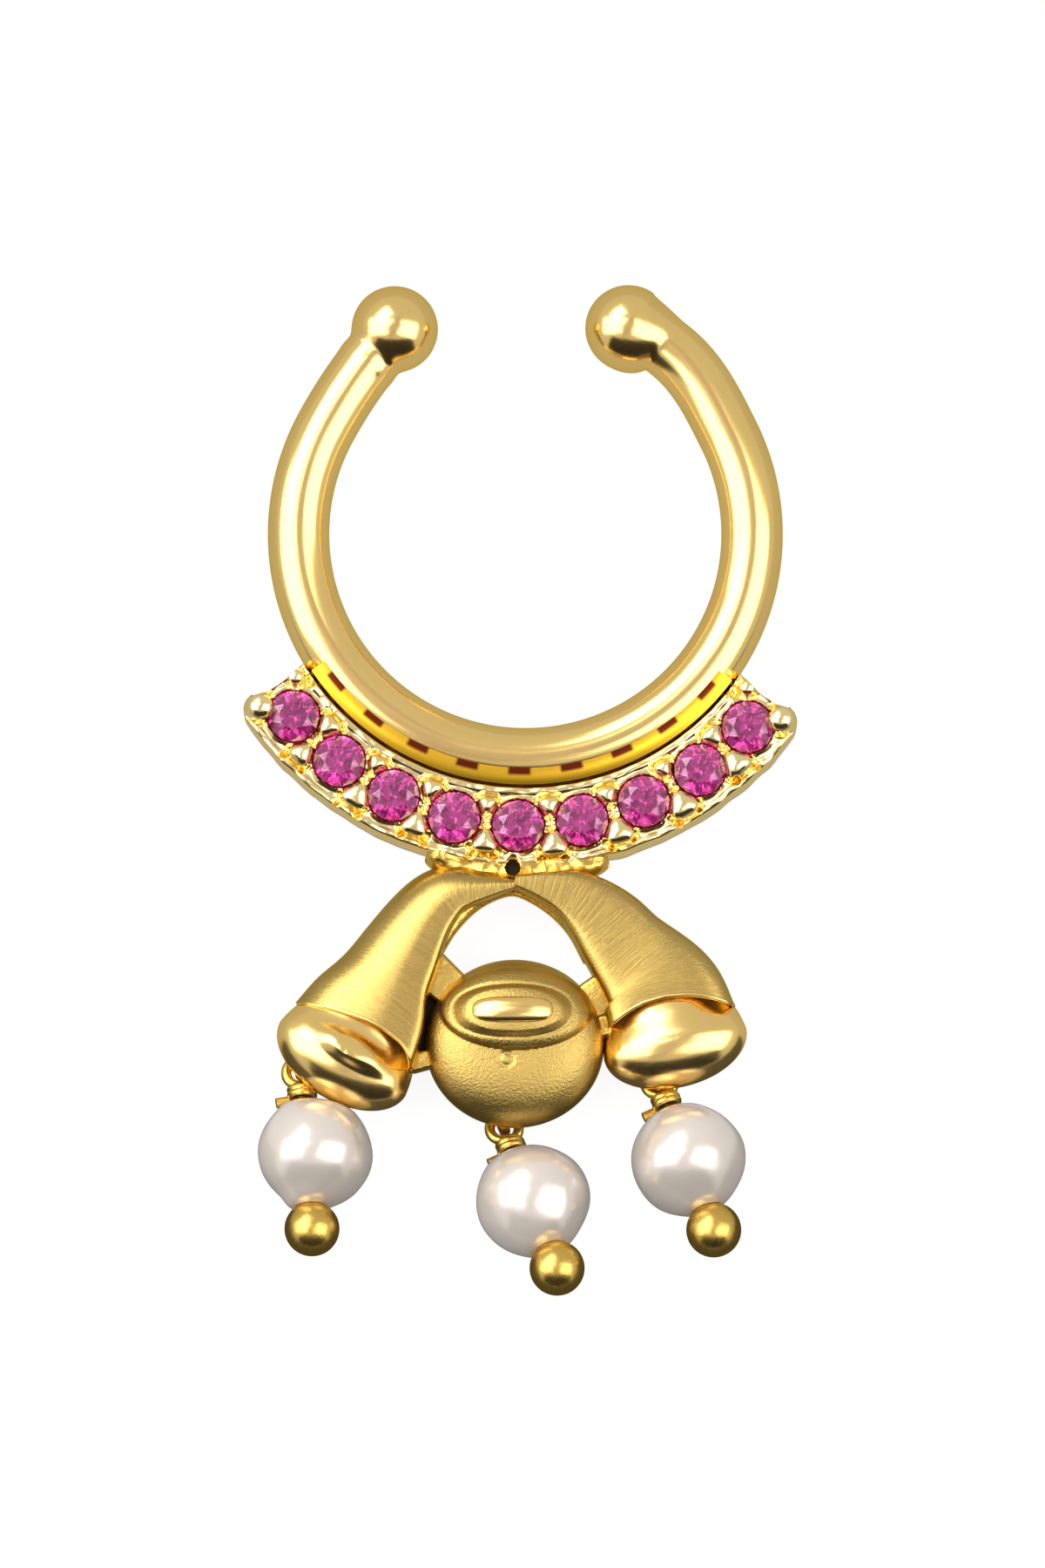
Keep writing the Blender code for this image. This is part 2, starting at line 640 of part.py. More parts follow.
def combine(target, other, operation, solver="EXACT"):
    modifier = target.modifiers.new(other.name, "BOOLEAN")
    modifier.operation = operation
    modifier.object = other
    modifier.solver = solver


def smooth(obj, sharp_angle):
    obj.data.shade_smooth()
    obj.data.set_sharp_from_angle(angle=math.radians(sharp_angle))


def rest_at_origin(collection):
    """Puts the middle of the whole piece's underside at the origin."""
    bpy.context.view_layer.update()
    graph = bpy.context.evaluated_depsgraph_get()
    low, high = Vector((math.inf,) * 3), Vector((-math.inf,) * 3)
    for obj in collection.objects:
        shown = obj.evaluated_get(graph)
        for vertex in shown.to_mesh().vertices:
            place_now = shown.matrix_world @ vertex.co
            low = Vector(map(min, low, place_now))
            high = Vector(map(max, high, place_now))
        shown.to_mesh_clear()
    shift = Vector((-(low.x + high.x) / 2, -(low.y + high.y) / 2, -low.z))
    for obj in bpy.data.objects:
        obj.location += shift


def main():
    for obj in list(bpy.data.objects):
        bpy.data.objects.remove(obj)
    parts = fresh_collection("septum_ring")
    soldered = fresh_collection("soldered_pieces")
    seats = fresh_collection("seat_and_hole_cutters")
    pin_pieces = fresh_collection("pin_pieces")
    drills = fresh_collection("pearl_drills")
    gold = material("gold_plate", GOLD, 0.25, 1.0)
    magenta = material("magenta_stone", MAGENTA, 0.05, 0.0)
    cream = material("cream_pearl", CREAM, 0.25, 0.0)

    frame = make_ring(parts)
    frame.data.materials.append(gold)
    make_ring_balls(soldered)
    make_crescent(soldered)
    for horn in HORNS:
        make_horn(horn, soldered)
    make_bud(soldered)
    make_webs(soldered)
    make_seat_cutters(seats)
    make_pinhole_cutter(seats)
    for drop in DROPS:
        make_eye(drop, soldered)
    for piece in soldered.objects:
        combine(frame, piece, "UNION", "MANIFOLD")
    for cutter in seats.objects:
        combine(frame, cutter, "DIFFERENCE", "MANIFOLD")
    smooth(frame, 40)

    make_stones(parts, magenta)
    for drop in DROPS:
        make_pearl(drop, parts, drills, cream)
        make_headpin(drop, parts, pin_pieces, gold)
    for obj in parts.objects:
        if obj.name.startswith(("pearl", "headpin")):
            smooth(obj, 40)
    rest_at_origin(parts)


main()
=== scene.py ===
"""Clip-on septum ring: an open gold-plated ring, a pave crescent, three cast buds and three pearl drops.

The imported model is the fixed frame. Each operator makes one group of pieces round it, and the last one
makes the white floor, the soft boxes and the camera. Lengths are in metres and +Z is the ring's front.
"""

import math
import random

import bmesh
import bpy
from mathutils import Matrix, Vector, noise


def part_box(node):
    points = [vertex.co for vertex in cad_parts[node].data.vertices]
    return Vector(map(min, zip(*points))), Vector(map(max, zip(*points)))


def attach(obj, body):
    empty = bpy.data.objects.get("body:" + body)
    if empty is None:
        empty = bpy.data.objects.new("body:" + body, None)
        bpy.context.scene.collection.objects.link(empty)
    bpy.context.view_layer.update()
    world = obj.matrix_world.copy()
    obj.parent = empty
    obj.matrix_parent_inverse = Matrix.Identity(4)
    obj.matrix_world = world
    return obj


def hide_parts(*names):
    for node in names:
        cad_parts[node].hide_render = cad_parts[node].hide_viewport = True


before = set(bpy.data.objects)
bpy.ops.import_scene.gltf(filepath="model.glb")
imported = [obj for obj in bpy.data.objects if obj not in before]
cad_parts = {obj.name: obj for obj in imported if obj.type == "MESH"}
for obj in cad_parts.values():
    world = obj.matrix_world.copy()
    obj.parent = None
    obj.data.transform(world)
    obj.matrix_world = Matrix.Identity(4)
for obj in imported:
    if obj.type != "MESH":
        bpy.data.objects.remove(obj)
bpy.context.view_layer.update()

bl_info = {
    "name": "Septum ring",
    "version": (1, 0, 0),
    "blender": (4, 5, 0),
    "location": "3D View > Sidebar > Septum ring",
    "description": "Makes a gold-plated septum ring with a pave crescent and pearl drops",
    "category": "Add Mesh",
}

MM = 0.001
BODY = "root"
MERGE = 0.0004 * MM

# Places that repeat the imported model's, as angles in degrees and shares of the sizes below
LEFT_END_ANGLE = 31.6
RIGHT_END_ANGLE = 26.3
SPRUNG_ANGLE = 62.0
CRESCENT_TURN = -1.4
STONE_COUNT = 9

# A horn's stations: its centre to the side and down, its width and its height, as shares of the horn's
LEFT_HORN = (
    (0.00, 0.04, 0.10, 0.00),
    (0.20, 0.05, 0.25, 0.00),
    (0.44, 0.09, 0.41, 0.08),
    (0.60, 0.26, 0.50, 0.20),
    (0.70, 0.44, 0.59, 0.36),
    (0.80, 0.62, 0.68, 0.56),
    (0.90, 0.81, 0.86, 0.82),
    (1.00, 1.00, 0.97, 1.00),
)
RIGHT_HORN = (
    (0.00, 0.04, 0.10, 0.00),
    (0.19, 0.08, 0.25, 0.00),
    (0.41, 0.16, 0.44, 0.08),
    (0.60, 0.34, 0.58, 0.22),
    (0.70, 0.49, 0.65, 0.38),
    (0.83, 0.65, 0.76, 0.58),
    (0.94, 0.82, 0.91, 0.84),
    (1.00, 1.00, 0.965, 1.00),
)


def linear(code):
    """An sRGB hex colour as linear red, green and blue."""
    values = [int(code[i : i + 2], 16) / 255 for i in (0, 2, 4)]
    return tuple(v / 12.92 if v <= 0.04045 else ((v + 0.055) / 1.055) ** 2.4 for v in values)


def length(name, description, millimetres):
    return bpy.props.FloatProperty(
        name=name, description=description, default=millimetres * MM, unit="LENGTH", precision=5
    )


def colour(name, description, code):
    return bpy.props.FloatVectorProperty(
        name=name, description=description, default=linear(code), subtype="COLOR", min=0, max=1
    )


class SEPTUM_PG_ring(bpy.types.PropertyGroup):
    """Sizes of the wire ring and the crescent on it."""

    bore: length("Bore", "Inside of the wire ring", 9.02)
    wire: length("Wire", "Thickness of the ring's wire", 1.42)
    ball: length("End ball", "Diameter of the balls on the ring's ends", 2.0)
    left_spring: length("Left spring", "How far the left end is sprung out", 0.40)
    right_spring: length("Right spring", "How far the right end is sprung out", 0.07)
    crescent_width: length("Crescent width", "Width of the flat bar under the ring", 1.83)
    crescent_back: length("Crescent back", "Height of the bar's back", 0.30)
    crescent_top: length("Crescent top", "Height of the bar's face", 1.65)
    stone: length("Stone", "Diameter of each round stone", 1.18)
    stone_gap: length("Stone gap", "Metal between two stones", 0.30)
    tip_margin: length("Tip margin", "Metal beyond the last stones", 0.35)
    bead: length("Setting bead", "Diameter of the beads that hold the stones", 0.54)
    pinhole: length("Pinhole", "Diameter of the hole between crescent and horns", 0.36)


class SEPTUM_PG_casting(bpy.types.PropertyGroup):
    """Sizes of the horns and the bud."""

    back: length("Back", "Height of the casting's flat back", 1.15)
    axis: length("Axis", "How far the casting is off the ring's middle", -0.24)
    crotch: length("Crotch", "From the crescent down to where the horns part", 0.26)
    reach: length("Horn reach", "From the crotch to the left horn's mouth, sideways", 3.68)
    drop: length("Horn drop", "From the crotch to the left horn's mouth, down", 3.64)
    mouth: length("Horn mouth", "Width of the left horn's mouth", 3.22)
    mouth_height: length("Mouth height", "How far a mouth stands over the back", 0.94)
    neck_height: length("Neck height", "How far a neck stands over the back", 0.86)
    bulb_length: length("Bulb length", "Length of the bulb in a mouth", 3.34)
    bulb_width: length("Bulb width", "Width of the bulb in a mouth", 1.98)
    bulb_rise: length("Bulb rise", "How far a bulb stands over the back", 1.04)
    bud: length("Bud", "Diameter of the round bud", 3.98)
    bud_drop: length("Bud drop", "From the crotch to the bud's middle", 3.80)
    bud_height: length("Bud height", "How far the bud stands over the back", 1.12)
    web_height: length("Web height", "How far the webs stand over the back", 0.36)
    shoulder: length("Shoulder", "Width of the strip between crescent and horns", 0.46)


class SEPTUM_PG_drops(bpy.types.PropertyGroup):
    """Sizes of the pearls and the pins they hang on."""

    pearl: length("Pearl", "Diameter of a pearl", 2.62)
    hole: length("Hole", "Diameter of a pearl's hole", 0.70)
    head: length("Pin head", "Diameter of a pin's ball", 1.26)
    pin_wire: length("Pin wire", "Thickness of a pin", 0.24)
    eye_wire: length("Eye wire", "Thickness of the eye under a bud", 0.26)
    link_play: length("Link play", "Play between a loop and its eye", 0.08)
    pin_play: length("Pin play", "Play between a pin and its pearl", 0.04)
    loop_stem: length("Loop stem", "From the wrapped turn to the loop", 0.20)
    tail: length("Tail", "Length of the wire's cut end", 0.62)


class SEPTUM_PG_looks(bpy.types.PropertyGroup):
    """Colours of the finishes."""

    polished: colour("Polished plate", "Gold plate on the ring and the bulbs", "FCD684")
    cut: colour("Cut plate", "Paler gold plate on the crescent's cut face", "FFE4A2")
    satin: colour("Satin plate", "Brushed gold plate on the horns and the bud", "BB9E57")
    wire: colour("Wire plate", "Deeper gold plate on the pins", "DCB65C")
    # The seam's deep yellow is a painted reflection of the gold crescent in the wire's flank, and its garnet
    # dashes are painted reflections of the stones
    seam: colour("Seam", "Deep yellow of the soldered seam", "F0BC33")
    seam_stone_reflection: colour("Seam dash", "Garnet marks on the seam opposite the stones", "6E2A14")
    # Painted reflections in the stones: their magenta broken into bright flashes and dark patches
    stone_painted_flash: colour("Stone, light", "Colour of the stones' bright patches", "F856BA")
    stone_painted_dark: colour("Stone, dark", "Colour of the stones' dark patches", "84144E")
    pearl: colour("Pearl", "Cream of the pearls", "D9CFC4")
    floor: colour("Floor", "Film of the light table under the ring", "6E6E6E")


class SEPTUM_PG_settings(bpy.types.PropertyGroup):
    """All sizes and colours of the septum ring."""

    ring: bpy.props.PointerProperty(name="Ring", description="Ring sizes", type=SEPTUM_PG_ring)
    casting: bpy.props.PointerProperty(name="Casting", description="Bud sizes", type=SEPTUM_PG_casting)
    drops: bpy.props.PointerProperty(name="Drops", description="Drop sizes", type=SEPTUM_PG_drops)
    looks: bpy.props.PointerProperty(name="Looks", description="Colours", type=SEPTUM_PG_looks)


def settings():
    return bpy.context.scene.septum_ring


# Shared geometry


def ease(value):
    """Rises smoothly from 0 to 1."""
    value = min(1.0, max(0.0, value))
    return value * value * (3 - 2 * value)


def dome(distance, power=2.0):
    """Height of a dome of radius 1 and height 1 at a distance from its middle."""
    return max(0.0, 1 - abs(distance) ** power) ** (1 / power)


def oval_distance(place, middle, half, power=2.0):
    """0 at the middle of an oval and 1 at its edge."""
    x, y = abs(place.x - middle.x) / half.x, abs(place.y - middle.y) / half.y
    return (x**power + y**power) ** (1 / power)


def down_polar(radius, angle):
    """A place on the ring's plane, by distance from its centre and angle from the crescent's middle."""
    turned = math.radians(angle + CRESCENT_TURN)
    return Vector((radius * math.sin(turned), -radius * math.cos(turned), 0))


def crescent_inner():
    return settings().ring.bore / 2 + settings().ring.wire


def crescent_outer():
    return crescent_inner() + settings().ring.crescent_width


def stone_line():
    return (crescent_inner() + crescent_outer()) / 2


def stone_pitch():
    return math.degrees((settings().ring.stone + settings().ring.stone_gap) / stone_line())


def crescent_half_angle():
    ring = settings().ring
    beyond = math.degrees((ring.stone / 2 + ring.tip_margin) / stone_line())
    return stone_pitch() * (STONE_COUNT - 1) / 2 + beyond


def ring_centre():
    """The middle of the wire ring on the floor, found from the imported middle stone."""
    low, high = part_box("stone_5")
    middle = (low + high) / 2
    return Vector((middle.x, middle.y, 0)) - down_polar(stone_line(), 0)


def crotch():
    casting = settings().casting
    return Vector((casting.axis, -crescent_outer() - casting.crotch, casting.back))


def bud_centre():
    return crotch() - Vector((0, settings().casting.bud_drop, 0))


def catmull(points, share):
    """A point on a smooth curve through all the points, at a share of the way along them."""
    spot = share * (len(points) - 1)
    i = min(int(spot), len(points) - 2)
    t = spot - i
    p1, p2 = points[i], points[i + 1]
    p0 = points[i - 1] if i else p1 * 2 - p2
    p3 = points[i + 2] if i + 2 < len(points) else p2 * 2 - p1
    return 0.5 * (p1 * 2 + (p2 - p0) * t + (p0 * 2 - p1 * 5 + p2 * 4 - p3) * t**2
                  + (p1 * 3 - p0 - p2 * 3 + p3) * t**3)


def new_shape():
    """An empty mesh whose points can hold where the grain of the metal runs."""
    bm = bmesh.new()
    bm.verts.layers.float_vector.new("grain")
    return bm


def finish_piece(name, bm, look, nodes, sharp=40):
    """Makes the shape an object in the frame, smooth but for its sharp edges, and names what it is."""
    bmesh.ops.remove_doubles(bm, verts=bm.verts[:], dist=MERGE)
    bmesh.ops.recalc_face_normals(bm, faces=bm.faces[:])
    mesh = bpy.data.meshes.new(name)
    bm.to_mesh(mesh)
    bm.free()
    mesh.transform(Matrix.Translation(ring_centre()))
    mesh.shade_smooth()
    mesh.set_sharp_from_angle(angle=math.radians(sharp))
    mesh.materials.append(look)
    piece = bpy.data.objects.new(name, mesh)
    bpy.context.scene.collection.objects.link(piece)
    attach(piece, BODY)
    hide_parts(*nodes)
    return piece


def relief(bm, columns, rows, front, back, grain=None, keep=None):
    """A closed solid: one grid laid over its front and again over its back by functions of u and v.

    u and v run from 0 to 1. keep says which cells stay, so that a hole is cut through.
    """
    layer = bm.verts.layers.float_vector["grain"]
    made = bmesh.ops.create_grid(bm, x_segments=columns, y_segments=rows, size=0.5)
    verts = made["verts"]
    bmesh.ops.translate(bm, verts=verts, vec=(0.5, 0.5, 0))
    faces = {face for vert in verts for face in vert.link_faces}
    if keep:
        dropped = [face for face in faces if not keep(*face.calc_center_median().xy)]
        faces -= set(dropped)
        bmesh.ops.delete(bm, geom=dropped, context="FACES")
    raised = bmesh.ops.extrude_face_region(bm, geom=list(faces))["geom"]
    top = [item for item in raised if isinstance(item, bmesh.types.BMVert)]
    on_top = set(top)
    bottom = [vert for vert in verts if vert.is_valid and vert not in on_top]
    for group, lay in ((top, front), (bottom, back)):
        for vert in group:
            u, v = vert.co.x, vert.co.y
            vert.co = lay(u, v)
            vert[layer] = grain(u, v, vert.co) if grain else vert.co
    return top


def sweep(bm, path, radii, sides, up=Vector((0, 0, 1))):
    """A round skin along a path, turned as little as it can be, with its ends closed."""
    layer = bm.verts.layers.float_vector["grain"]
    last = len(path) - 1
    before = None
    travelled = 0.0
    ends = []
    for i, (centre, radius) in enumerate(zip(path, radii)):
        ahead = (path[min(i + 1, last)] - path[max(i - 1, 0)]).normalized()
        up = (up - ahead * up.dot(ahead)).normalized()
        side = up.cross(ahead)
        turn = Matrix((side, up, ahead)).transposed().to_4x4()
        matrix = Matrix.Translation(centre) @ turn
        verts = bmesh.ops.create_circle(bm, segments=sides, radius=radius, matrix=matrix)["verts"]
        if i:
            travelled += (centre - path[i - 1]).length
        for vert in verts:
            around = vert.co - centre
            vert[layer] = (travelled, around.dot(side), around.dot(up))
        edges = list({edge for vert in verts for edge in vert.link_edges})
        if before:
            bmesh.ops.bridge_loops(bm, edges=before + edges)
        if i in (0, last):
            ends.append(edges)
        before = edges
    for edges in ends:
        bmesh.ops.contextual_create(bm, geom=edges)


def add_ball(bm, centre, radii, segments=24, rings=14, turn=0.0):
    """A ball or an egg, with its three half sizes."""
    made = bmesh.ops.create_uvsphere(bm, u_segments=segments, v_segments=rings, radius=1)
    shape = Matrix.Translation(centre) @ Matrix.Rotation(turn, 4, "Z") @ Matrix.Diagonal((*radii, 1))
    bmesh.ops.transform(bm, matrix=shape, verts=made["verts"])
    mark_grain(bm, made["verts"])
    return made["verts"]


def mark_grain(bm, verts):
    """The grain of cast or turned metal is the same in every direction."""
    layer = bm.verts.layers.float_vector["grain"]
    for vert in verts:
        vert[layer] = vert.co


# Materials


def add_node(tree, kind, inputs=None, **options):
    """Adds a node. An input is a value, or another node's output, which is linked to it."""
    node = tree.nodes.new(kind)
    for key, value in options.items():
        setattr(node, key, value)
    for key, value in (inputs or {}).items():
        if isinstance(value, bpy.types.NodeSocket):
            tree.links.new(value, node.inputs[key])
        else:
            node.inputs[key].default_value = value
    return node


def shaded(name):
    """A new material with only an output, and its tree."""
    made = bpy.data.materials.new(name)
    made.use_nodes = True
    made.node_tree.nodes.clear()
    return made, made.node_tree


def connect_surface(tree, shader):
    add_node(tree, "ShaderNodeOutputMaterial", {"Surface": shader.outputs["BSDF"]})


def rgba(tone, level=1.0):
    return (*[channel * level for channel in tone], 1.0)


# Gold stays yellow where it turns away from the eye
EDGE_TINT = linear("F6E3A8")


def gold_plate(name, tone, roughness, marks, mark_depth, mottle, worn=0.06):
    """Gold electroplate on brass: warm reflections, with hairlines or grain from how it was finished.

    marks holds the size of the marks along and across the grain, and mark_depth their depth, in metres.
    mottle is how much the colour drifts, as a share, and worn how much the roughness does.
    """
    made, tree = shaded(name)
    grain = add_node(tree, "ShaderNodeAttribute", attribute_name="grain")
    along, across = marks
    stretched = add_node(
        tree,
        "ShaderNodeMapping",
        {"Vector": grain.outputs["Vector"], "Scale": (1 / along, 1 / across, 1 / across)},
    )
    hairlines = add_node(
        tree,
        "ShaderNodeTexNoise",
        {"Vector": stretched.outputs["Vector"], "Scale": 1.0, "Detail": 3.0, "Roughness": 0.6},
    )
    # The plate's colour drifts over about 1.3 mm, as its thickness does
    patches = add_node(
        tree,
        "ShaderNodeTexNoise",
        {"Vector": grain.outputs["Vector"], "Scale": 1 / (1.3 * MM), "Detail": 2.0},
    )
    dark, light = rgba(tone, 1 - mottle), rgba([min(1, c * (1 + mottle)) for c in tone])
    body = add_node(
        tree,
        "ShaderNodeMix",
        {"Factor": patches.outputs["Fac"], "A": dark, "B": light},
        data_type="RGBA",
    )
    polish = add_node(
        tree,
        "ShaderNodeMapRange",
        {
            "Value": hairlines.outputs["Fac"],
            "To Min": roughness - worn,
            "To Max": roughness + worn,
        },
    )
    bumps = add_node(
        tree,
        "ShaderNodeBump",
        {"Height": hairlines.outputs["Fac"], "Strength": 1.0, "Distance": mark_depth},
    )
    shader = add_node(
        tree,
        "ShaderNodeBsdfPrincipled",
        {
            "Base Color": body.outputs["Result"],
            "Metallic": 1.0,
            "Roughness": polish.outputs["Result"],
            "Specular Tint": rgba(EDGE_TINT),
            "Normal": bumps.outputs["Normal"],
        },
    )
    connect_surface(tree, shader)
    return made


def drawn_wire_gold():
    """Drawn and tumbled wire under plate: long hairlines that soften the reflections along it."""
    # The real hairlines are about 0.02 mm apart; they are drawn three times as coarse, to show
    tone = settings().looks.polished
    return gold_plate(
        "drawn_gold_plated_wire",
        tone,
        roughness=0.17,
        marks=(1.6 * MM, 0.06 * MM),
        mark_depth=0.0016 * MM,
        mottle=0.05,
    )


def bright_cut_gold():
    """Cut and burnished setting metal under plate: near mirror, dented by the tools."""
    tone = settings().looks.cut
    return gold_plate(
        "bright_cut_gold_plate",
        tone,
        roughness=0.17,
        marks=(0.16 * MM, 0.16 * MM),
        mark_depth=0.0025 * MM,
        mottle=0.05,
    )


def burnished_cast_gold():
    """Cast bulbs, polished on a wheel before plating: soft mirror with faint drag lines."""
    tone = settings().looks.polished
    return gold_plate(
        "burnished_cast_gold_plate",
        tone,
        roughness=0.20,
        marks=(0.6 * MM, 0.07 * MM),
        mark_depth=0.002 * MM,
        mottle=0.05,
    )


def brushed_cast_gold():
    """Cast horns, brushed across with a fine wheel before plating: satin with hairlines across."""
    # The real brush marks are about 0.03 mm apart; they are drawn coarser, as they show in the photograph
    tone = settings().looks.satin
    return gold_plate(
        "brushed_cast_gold_plate",
        tone,
        roughness=0.28,
        marks=(0.06 * MM, 0.16 * MM),
        mark_depth=0.007 * MM,
        mottle=0.08,
        worn=0.10,
    )


def sandblasted_cast_gold():
    """The cast bud's satin skin: fine even grain that spreads the light."""
    tone = settings().looks.satin
    return gold_plate(
        "grained_cast_gold_plate",
        tone,
        roughness=0.34,
        marks=(0.06 * MM, 0.06 * MM),
        mark_depth=0.018 * MM,
        mottle=0.08,
        worn=0.12,
    )


def tumbled_pin_gold():
    """Soft pin wire and its melted ball, tumbled and flash plated: deep yellow satin."""
    tone = settings().looks.wire
    return gold_plate(
        "tumbled_pin_gold_plate",
        tone,
        roughness=0.28,
        marks=(0.12 * MM, 0.12 * MM),
        mark_depth=0.006 * MM,
        mottle=0.06,
    )


def rough_cast_gold():
    """Webs and solder, left as cast and only plated: deep yellow and lumpy."""
    tone = settings().looks.wire
    return gold_plate(
        "rough_cast_gold_plate",
        tone,
        roughness=0.26,
        marks=(0.16 * MM, 0.16 * MM),
        mark_depth=0.014 * MM,
        mottle=0.10,
    )


def seam_gold_painted_reflections():
    """The soldered flank of the wire, with painted reflections: bright yellow for the gold crescent it
    mirrors, and garnet dashes where it mirrors each stone's open side.
    """
    made, tree = shaded("seam_gold_painted_reflections_plate")
    looks = settings().looks
    count = add_node(tree, "ShaderNodeAttribute", attribute_name="grain")
    parts = add_node(tree, "ShaderNodeSeparateXYZ", {"Vector": count.outputs["Vector"]})
    # Painted reflections of the stones: a garnet dash on the flank opposite each stone, counted by the grain
    turns = add_node(tree, "ShaderNodeMath", {0: parts.outputs["X"], 1: math.tau}, operation="MULTIPLY")
    wave = add_node(tree, "ShaderNodeMath", {0: turns.outputs["Value"]}, operation="COSINE")
    along = add_node(
        tree, "ShaderNodeMapRange", {"Value": wave.outputs["Value"], "From Min": 0.05, "From Max": 0.40}
    )
    across = add_node(
        tree, "ShaderNodeMapRange", {"Value": parts.outputs["Y"], "From Min": 0.52, "From Max": 0.34}
    )
    stone_reflection = add_node(
        tree,
        "ShaderNodeMath",
        {0: along.outputs["Result"], 1: across.outputs["Result"]},
        operation="MULTIPLY",
    )
    body = add_node(
        tree,
        "ShaderNodeMix",
        {"Factor": stone_reflection.outputs["Value"], "A": rgba(looks.seam), "B": rgba(looks.seam_stone_reflection)},
        data_type="RGBA",
    )
    shader = add_node(
        tree,
        "ShaderNodeBsdfPrincipled",
        {
            "Base Color": body.outputs["Result"],
            "Metallic": 1.0,
            "Roughness": 0.26,
            "Specular Tint": rgba(EDGE_TINT),
        },
    )
    connect_surface(tree, shader)
    return made


def painted_shade_black():
    """Matt and nearly black: painted shade laid where the pinhole and the crevice fall dark."""
    made, tree = shaded("dried_painted_shade_black")
    place = add_node(tree, "ShaderNodeTexCoord")
    lumps = add_node(
        tree,
        "ShaderNodeTexNoise",
        {"Vector": place.outputs["Object"], "Scale": 1 / (0.08 * MM), "Detail": 2.0},
    )
    body = add_node(
        tree,
        "ShaderNodeMix",
        {"Factor": lumps.outputs["Fac"], "A": rgba(linear("140C06")), "B": rgba(linear("2A1B0D"))},
        data_type="RGBA",
    )
    shader = add_node(
        tree,
        "ShaderNodeBsdfPrincipled",
        {"Base Color": body.outputs["Result"], "Roughness": 0.9},
    )
    connect_surface(tree, shader)
    return made


def cubic_zirconia():
    """Dyed cubic zirconia, cut and polished, with strong refraction; the pink flashes and plum darks of its
    facets are also painted into its colour as patches.
    """
    made, tree = shaded("magenta_cubic_zirconia")
    looks = settings().looks
    place = add_node(tree, "ShaderNodeTexCoord")
    # Painted reflections: patches about 0.15 mm across stand in for facets flashing and mirroring one another
    patches = add_node(
        tree,
        "ShaderNodeTexVoronoi",
        {"Vector": place.outputs["Object"], "Scale": 1 / (0.15 * MM), "Randomness": 1.0},
    )
    share = add_node(tree, "ShaderNodeSeparateColor", {"Color": patches.outputs["Color"]})
    body = add_node(
        tree,
        "ShaderNodeMix",
        {
            "Factor": share.outputs["Red"],
            "A": rgba(looks.stone_painted_dark),
            "B": rgba(looks.stone_painted_flash),
        },
        data_type="RGBA",
    )
    shader = add_node(
        tree,
        "ShaderNodeBsdfPrincipled",
        {
            "Base Color": body.outputs["Result"],
            "Roughness": 0.05,
            "IOR": 1.9,
            "Transmission Weight": 0.85,
        },
    )
    connect_surface(tree, shader)
    return made


def imitation_pearl():
    """A drilled bead dipped in pearl essence: flakes under lacquer give a soft bright bloom."""
    made, tree = shaded("imitation_pearl_lacquer")
    tone = settings().looks.pearl
    place = add_node(tree, "ShaderNodeTexCoord")
    clouds = add_node(
        tree,
        "ShaderNodeTexNoise",
        {"Vector": place.outputs["Object"], "Scale": 1 / (1.1 * MM), "Detail": 2.0},
    )
    # Ripples of the dipped lacquer are about 0.25 mm across
    ripples = add_node(
        tree,
        "ShaderNodeTexNoise",
        {"Vector": place.outputs["Object"], "Scale": 1 / (0.25 * MM), "Detail": 2.0},
    )
    body = add_node(
        tree,
        "ShaderNodeMix",
        {"Factor": clouds.outputs["Fac"], "A": rgba(tone, 0.93), "B": rgba(tone)},
        data_type="RGBA",
    )
    bumps = add_node(
        tree,
        "ShaderNodeBump",
        {"Height": ripples.outputs["Fac"], "Strength": 1.0, "Distance": 0.0012 * MM},
    )
    shader = add_node(
        tree,
        "ShaderNodeBsdfPrincipled",
        {
            "Base Color": body.outputs["Result"],
            "Metallic": 0.42,
            "Roughness": 0.26,
            "Coat Weight": 0.35,
            "Coat Roughness": 0.12,
            "Normal": bumps.outputs["Normal"],
        },
    )
    connect_surface(tree, shader)
    return made


def felt(name, tone):
    """Felt for the stage's cards: it spreads what little light it sends back."""
    made, tree = shaded(name)
    shader = add_node(tree, "ShaderNodeBsdfPrincipled", {"Base Color": rgba(tone), "Roughness": 0.9})
    connect_surface(tree, shader)
    return made


def light_table():
    """Matt white film on a light table: it glows evenly, so the floor is as pale from every side."""
    made, tree = shaded("white_light_table")
    shader = add_node(
        tree,
        "ShaderNodeBsdfPrincipled",
        {
            "Base Color": rgba(settings().looks.floor),
            "Roughness": 0.9,
            "Specular IOR Level": 0.0,
            "Emission Color": (1.0, 1.0, 1.0, 1.0),
            "Emission Strength": TABLE_GLOW,
        },
    )
    connect_surface(tree, shader)
    return made


def mirrored_table():
    """What the metal mirrors below it: a grey table whose near edge is dark, under the white film."""
    made, tree = shaded("grey_table")
    place = add_node(tree, "ShaderNodeTexCoord")
    parts = add_node(tree, "ShaderNodeSeparateXYZ", {"Vector": place.outputs["Object"]})
    pale_from, dark_from = (ring_centre().y + y for y in MIRRORED_FROM)
    level = add_node(
        tree,
        "ShaderNodeMapRange",
        {
            "Value": parts.outputs["Y"],
            "From Min": dark_from,
            "From Max": pale_from,
            "To Min": MIRRORED_EDGE,
            "To Max": MIRRORED_TABLE,
        },
    )
    shader = add_node(
        tree,
        "ShaderNodeBsdfPrincipled",
        {
            "Base Color": (0.0, 0.0, 0.0, 1.0),
            "Roughness": 1.0,
            "Specular IOR Level": 0.0,
            "Emission Color": (1.0, 1.0, 1.0, 1.0),
            "Emission Strength": level.outputs["Result"],
        },
    )
    connect_surface(tree, shader)
    return made


# Ring: one wire whose ends swell into balls

